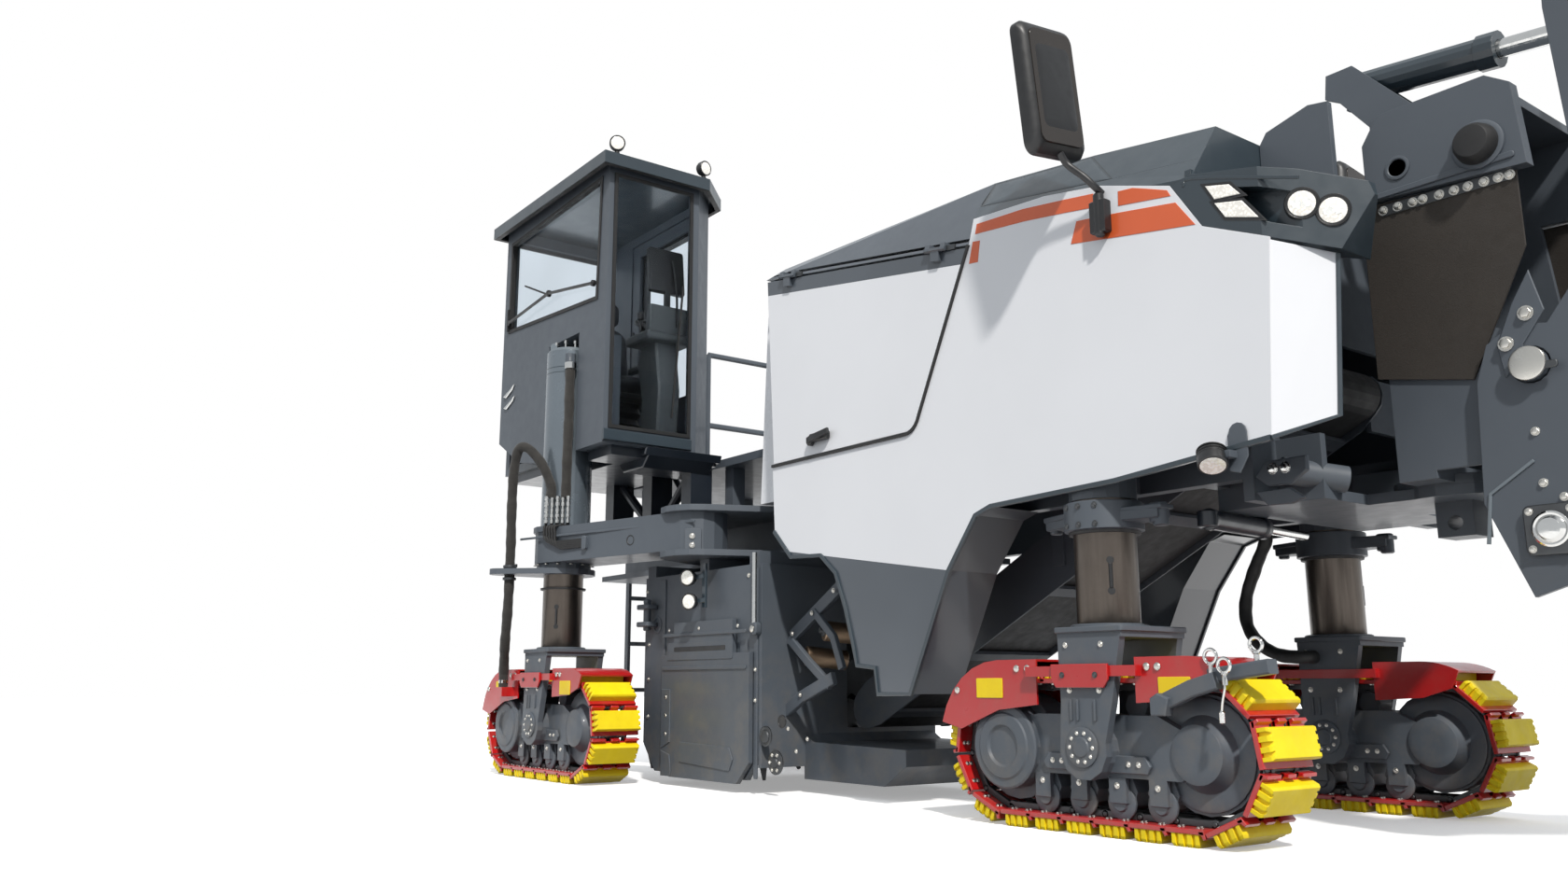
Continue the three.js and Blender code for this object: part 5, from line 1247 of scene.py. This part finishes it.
def smooth_columns():
    """Round columns, collars and guide tubes, turned finer than the CAD's flats."""
    for tag in CRAWLERS:
        add, _ = on_crawler(tag)
        front = tag.startswith("front")
        length = 572 if front else 1638
        stem = [(0, COLUMN_RADIUS - 0.5), (1, COLUMN_RADIUS), (length - 2, COLUMN_RADIUS),
                (length, COLUMN_RADIUS - 1.5)]
        add("column_stem", [turned([0, 0, 677.5], UP, stem, 72)], "column", slot="iron",
            replaces=["column_" + tag])
        if front:
            add("column_collar", [
                turned([0, 0, 1010], UP, [(0, 128), (3, COLLAR_RADIUS), (97, COLLAR_RADIUS),
                                          (100, 134)], 72),
                plate([(-240, -30), (-110, -66), (-110, 66), (-240, 30)], "xy", 1036, 1072, 4),
                plate([(110, -66), (250, -34), (250, 34), (110, 66)], "xy", 1036, 1072, 4),
                turned([226, 0, 1020], UP, [(0, 22), (4, 28), (66, 28), (70, 22)], 26),
                turned([-218, 0, 1024], UP, [(0, 18), (4, 22), (58, 22), (62, 18)], 24)], "grey")
    for side, foot, height in (("right", PORT + [0, 0, 1338], 996),
                               ("left", crawler_middle("rear_left") + [0, 0, 1752], 583)):
        tube = turned(foot, UP, [(0, GUIDE_RADIUS), (height, GUIDE_RADIUS)], 80)
        piece("guide_tube_" + side, [tube], "bright_grey", slot="grey")


# ------------------------------------------------------------------ bracket with ring pins

def guard_bracket():
    """Folded step bracket on the front right guard: a hollow bar, two arms, and ring pins
    that hold it."""
    y0 = -905
    arms = [bar([(318, y0 + 20, 430), (430, y0 + 20, 476), (520, y0 + 20, 500)], 34, 52),
            bar([(486, y0 + 46, 514), (690, y0 + 46, 540)], 52, 44),
            plate([(290, 392), (345, 392), (360, 446), (318, 462), (290, 446)], "xz", y0 - 12, y0 + 30,
                  4)]
    piece("step_bracket", arms, "grey", "crawler_front_right")
    rings, stems = [], []
    for x, y, z in ((500, y0 + 20, 548), (640, y0 + 46, 580), (560, y0 - 2, 520)):
        t = np.linspace(0, TURN, 21)[:-1]
        line = np.column_stack([x + 21 * np.cos(t), np.full(20, y), z + 24 + 21 * np.sin(t)])
        side = np.column_stack([np.cos(t), np.zeros(20), np.sin(t)])
        ring = circle(8) * 5.5
        points = line[:, None] + ring[None, :, :1] * side[:, None] + ring[None, :,
                                                                          1:] * np.array([0, 1.0, 0])
        rings.append(grid(points, wrap_u=True, wrap_v=True))
        stems.append(turned((x, y, z - 34), UP, [(0, 8), (30, 8), (32, 12), (40, 10)], 14))
    chain_line = [(560, y0 - 6, 520), (566, y0 - 14, 480), (556, y0 - 14, 440), (548, y0 - 10, 410)]
    rings.append(swept(smooth_path(chain_line, 6), 3.5, 8))
    rings.append(turned((548, y0 - 10, 372), UP, [(0, 3), (4, 9), (34, 9), (40, 4)], 12))
    piece("ring_pins", rings + stems, "chrome", "crawler_front_right", slot="steel")


# ------------------------------------------------------------------ cabin

def window_seal(outline, plane, low, high, width):
    """Rubber frame round a window: outer and inner loops of the outline at two depths."""
    outer, inner = np.asarray(outline, float), shrink(outline, width)
    u, v, w = (np.array(a, float) for a in PLANES[plane])
    loops = [shape[:, :1] * u + shape[:, 1:] * v + level * w
             for shape, level in ((outer, low), (outer, high), (inner, high), (inner, low))]
    return grid(np.array(loops), wrap_u=True, wrap_v=True)


SEAT_Y = -697           # middle of the seat and the desk
SEAM_Y = 0.42           # the sewn channels of a cushion, for half sizes of 1
SEAM_WIDTH = 0.045
SEAM_DEPTH = 0.13


def cushion(low, high, crown, waist, power=4.0):
    """Pillow between two corners. Its plan is a superellipse |a|^p + |b|^p = 1 whose sides
    pull in between the corners, and its faces stand up by a crown that fades to the rim:
    height = 1 - crown + crown cos(1.3 x) cos(1.3 y). Three sewn channels are pressed into
    the top face, two along x at SEAM_Y on both sides and one across between them."""
    low, high = np.asarray(low, float), np.asarray(high, float)
    middle, half = (low + high) / 2, (high - low) / 2
    u = np.linspace(0, TURN, 73)[:-1]
    v = np.linspace(-np.pi / 2, np.pi / 2, 27)
    c, s = np.cos(u), np.sin(u)
    scale = (np.abs(c) ** power + np.abs(s) ** power) ** (-1 / power)
    a, b = c * scale, s * scale
    pinch = waist * np.cos(2 * u) ** 2
    a, b = a * (1 - pinch * (np.abs(b) < 0.999)), b * (1 - pinch)
    r = np.cos(v)[:, None] ** 0.45
    side = np.sign(np.sin(v))[:, None] * np.abs(np.sin(v))[:, None] ** 0.7
    x, y = r * a[None], r * b[None]
    bulge = side * (1 - crown + crown * np.cos(x * 1.3) * np.cos(y * 1.3))
    along = np.exp(-((np.abs(y) - SEAM_Y) / SEAM_WIDTH) ** 2)
    across = 0.8 * np.exp(-((x + 0.1) / SEAM_WIDTH) ** 2) * (np.abs(y) < SEAM_Y)
    bulge = bulge - SEAM_DEPTH * (along + across) * (side > 0.35)
    return grid(np.stack([middle[0] + half[0] * x, middle[1] + half[1] * y,
                          middle[2] + half[2] * bulge], axis=2), wrap_v=True)


def tilted(part, foot, degrees):
    """Leans a part about the Y direction through foot."""
    t = np.radians(degrees)
    turn = np.array([[np.cos(t), 0, np.sin(t)], [0, 1, 0], [-np.sin(t), 0, np.cos(t)]])
    verts, faces = part
    return (verts - foot) @ turn.T + np.asarray(foot, float), faces


def operator_seat():
    """Cushion, back and headrest as separate padded pieces over a plain pedestal."""
    seat = cushion((-3910, -900, 2190), (-3430, -495, 2315), 0.35, 0.03)
    upright_pad = cushion((-205, -192, -62), (205, 192, 62), 0.3, 0.035)
    verts, faces = upright_pad
    stand = np.column_stack([-3862 + verts[:, 2], SEAT_Y + verts[:, 1], 2500 - verts[:, 0]])
    back_pad = tilted((stand, faces), (-3862, SEAT_Y, 2310), -7)
    verts, faces = cushion((-78, -130, -45), (78, 130, 45), 0.3, 0.03)
    head = np.column_stack([-3896 + verts[:, 2], SEAT_Y + verts[:, 1], 2790 - verts[:, 0]])
    head_pad = (head, faces)
    for name, part in (("seat_cushion", seat), ("seat_back", back_pad), ("seat_headrest", head_pad)):
        item = piece(name, [part], "seat", replaces=["operator_seat"])
    pedestal = [turned((-3690, SEAT_Y, 1800.5), UP, [(0, 190), (14, 190), (24, 150), (40, 150)], 28)]
    rings = [np.array([[x, y, z] for x,
                       y in rounded(-3690 - a, -3690 + a, SEAT_Y - a * 0.9, SEAT_Y + a * 0.9, 40, 3)])
             for z, a in ((1840, 130), (1880, 142), (1915, 126), (1950, 142), (1985, 126), (2020, 142),
                          (2055, 126),
                          (2090, 142), (2125, 130), (2150, 136))]
    pedestal.append(loft(rings))
    pedestal.append(plate(rounded(-3890, -3460, -880, -515, 30), "xy", 2152, 2190, 6))
    piece("seat_pedestal", pedestal, "plastic")
    posts = [turned((-3885, SEAT_Y + y, 2690), UP, [(0, 7), (60, 7)], 12) for y in (-60, 60)]
    piece("headrest_posts", posts, "chrome", slot="steel")
    arms = [plate(rounded(-3800, -3500, 2392, 2432, 18), "xz", y - 24, y + 24, 8) for y in (-868, -526)]
    arms += [bar([(-3820, y, 2330), (-3800, y, 2410)], 24, 34) for y in (-868, -526)]
    piece("seat_armrests", arms, "skin")


def control_desk():
    """Desk, steering wheel, screen and levers instead of the plain block."""
    column = [(-3200, 1801), (-3010, 1801), (-2990, 2120), (-3040, 2420), (-3200, 2420), (-3246, 2300),
              (-3190, 2080)]
    desk = [plate(column, "xz", -790, -650, 12),
            plate(rounded(-3252, -2984, 2392, 2446, 20), "xz", -870, -570, 10),
            plate([(-3060, 2440), (-3000, 2440), (-3000, 2600), (-3040, 2600)], "xz", -850, -590, 8)]
    piece("desk", desk, "skin", replaces=["control_desk"])
    t = np.linspace(0, TURN, 41)[:-1]
    tilt = np.radians(28)
    middle = np.array([-3170.0, SEAT_Y, 2520])
    up, side = np.array([np.sin(tilt), 0, np.cos(tilt)]), np.array([np.cos(tilt), 0, -np.sin(tilt)])
    across = np.array([0, 1.0, 0])
    rim = middle + 130 * (np.cos(t)[:, None] * side + np.sin(t)[:, None] * across)
    out = np.cos(t)[:, None] * side + np.sin(t)[:, None] * across
    ring = circle(10) * 13
    points = rim[:, None] + ring[None, :, :1] * out[:, None] + ring[None, :, 1:] * up
    wheel = [grid(points, wrap_u=True, wrap_v=True),
             turned(middle - up * 130, up, [(0, 26), (110, 22), (118, 40), (134, 40), (140, 28)], 22)]
    for angle in (20, 160, 270):
        a = np.radians(angle)
        wheel.append(bar([middle + up * 4, middle + 124 * (np.cos(a) * side + np.sin(a) * across)], 24,
                         9))
    piece("steering_wheel", wheel, "plastic")
    screen = [tilted(plate(rounded(-850, -620, 2680, 2950, 16), "yz", -3052, -3016, 6),
                     (-3030, -735, 2800), -6)]
    face = [tilted(plate(rounded(-832, -638, 2704, 2926, 8), "yz", -3055, -3051, 1),
                   (-3030, -735, 2800), -6)]
    mast = [bar([(-3014, -735, 2600), (-3014, -735, 2700)], 34, 24),
            swept(smooth_path([(-3014, -700, 2880), (-2985, -690, 2700), (-2990, -680, 2480)], 8), 7,
                  8)]
    piece("screen_case", screen + mast, "plastic")
    piece("screen_face", face, "screen")
    keys, caps = [], []
    for y in np.linspace(-845, -600, 9):
        keys.append(turned((-3225, y, 2445), UP, [(0, 9), (6, 9), (8, 7)], 12))
        caps.append(turned((-3196, y, 2445), UP, [(0, 6), (14, 5), (22, 8), (28, 5)], 10))
    piece("desk_keys", keys, "iron")
    piece("desk_switches", caps, "plastic")
    stick = [turned((-3120, y, 2446), (-0.1, 0, 1), [(0, 26), (8, 16), (20, 9), (86, 8), (90, 20),
                                                     (126, 22), (138, 12)], 16) for y in (-838, -600)]
    piece("joysticks", stick, "plastic")


def cabin_outside():
    """Window and door seals, wipers, step marks, base, sill, struts, roof lip and roof lamps."""
    right = [(-4180, 2640), (-3000, 2560), (-2975, 3270), (-4180, 3230)]
    front = [(-1150, 1830), (-640, 1830), (-640, 3270), (-1150, 3270)]
    door = [(-3810, 2156), (-3220, 2156), (-3220, 3190), (-3810, 3190)]
    rear = [(-1120, 2450), (-480, 2450), (-480, 3260), (-1120, 3260)]
    parts = [window_seal(right, "xz", -1186, -1150, 20), window_seal(front, "yz", -2906, -2893, 20),
             window_seal(rear, "yz", -4256, -4240, 20)]
    piece("window_seals", parts, "rubber")
    item = [window_seal(door, "xz", -440, -392, 18),
            bar([(-3190, -388, 2500), (-3190, -388, 2760)], 18, 30)]
    piece("door_seal", item, "rubber", "door_cabin")
    rails = [swept([(-4150, -1196, 2700), (-3600, -1196, 2748), (-3040, -1196, 2660)], 9, 10),
             turned((-3600, -1186, 2748), RIGHT, [(-4, 20), (14, 20), (20, 12)], 14),
             turned((-4150, -1186, 2700), RIGHT, [(-4, 18), (14, 18)], 12),
             turned((-3040, -1186, 2660), RIGHT, [(-4, 18), (14, 18)], 12),
             bar([(-4168, -1192, 2650), (-4168, -1192, 2790)], 16, 12)]
    piece("wiper_rails", rails, "plastic")
    blades = [bar([(-3620, -1172, 2745), (-3980, -1172, 2900)], 10, 10)]
    piece("wiper_blades", blades + [bar([(-2896, -760, 1930), (-2896, -700, 2700)], 8, 14)], "rubber")
    handles = []
    for k, z in enumerate((2250, 2176)):
        handles.append(facing(plate([(-70, -12), (40, 22), (84, 40), (60, 10), (-30, -26)], "xy", 0, 12,
                                    4),
                              (-4130 + 10 * k, -1180, z), RIGHT))
    piece("step_marks", handles, "chrome", slot="steel")
    base = [plate([(-4240, 1712), (-2905, 1712), (-2885, 1752), (-4252, 1752)], "xz", -920, -430, 6),
            plate([(-3180, 1650), (-2960, 1650), (-2900, 1712), (-3240, 1712)], "xz", -900, -470, 6)]
    # navy cabin base: painted shade under the cabin
    piece("cabin_base", base, "navy")
    sill = [bar([(-2890, -1185, 1790), (-2890, -640, 1790)], 24, 60)]
    piece("front_sill", sill, "dark")
    shells, faces = [], []
    for y, way in ((-1165, (0.92, -0.38, -0.05)), (-600, (0.95, 0.2, -0.05))):
        way = np.array(way)
        foot = np.array([-2856, y, 3420.0])
        shells.append(turned(foot - way * 34, way,
                             [(0, 20), (8, 36), (20, 42), (52, 44), (56, 40), (52, 36)], 26))
        faces.append(turned(foot - way * 34, way, [(44, 38), (52, 37), (55, 26), (56, 8)], 26))
        shells.append(turned(foot - [0, 0, 62], UP, [(0, 14), (6, 16), (26, 9)], 12))
    piece("roof_lamp_shells", shells, "plastic")
    piece("roof_lamp_faces", faces, "lamp")
    edge = [(-4316, -1246), (-2834, -1246), (-2834, -573), (-3053, -354), (-4316, -354)]
    lip = window_seal(edge, "xy", 3283, 3294, 26)
    piece("roof_lip", [lip], "rubber")
    struts = [swept([(-3120, -440, 1400), (-3420, -440, 1740)], 16, 14),
              swept([(-3700, -1060, 1400), (-3480, -1060, 1740)], 16, 14)]
    # navy struts: painted shade under the cabin
    piece("cabin_struts", struts, "navy")


smooth_columns()
guard_bracket()
operator_seat()
control_desk()
cabin_outside()
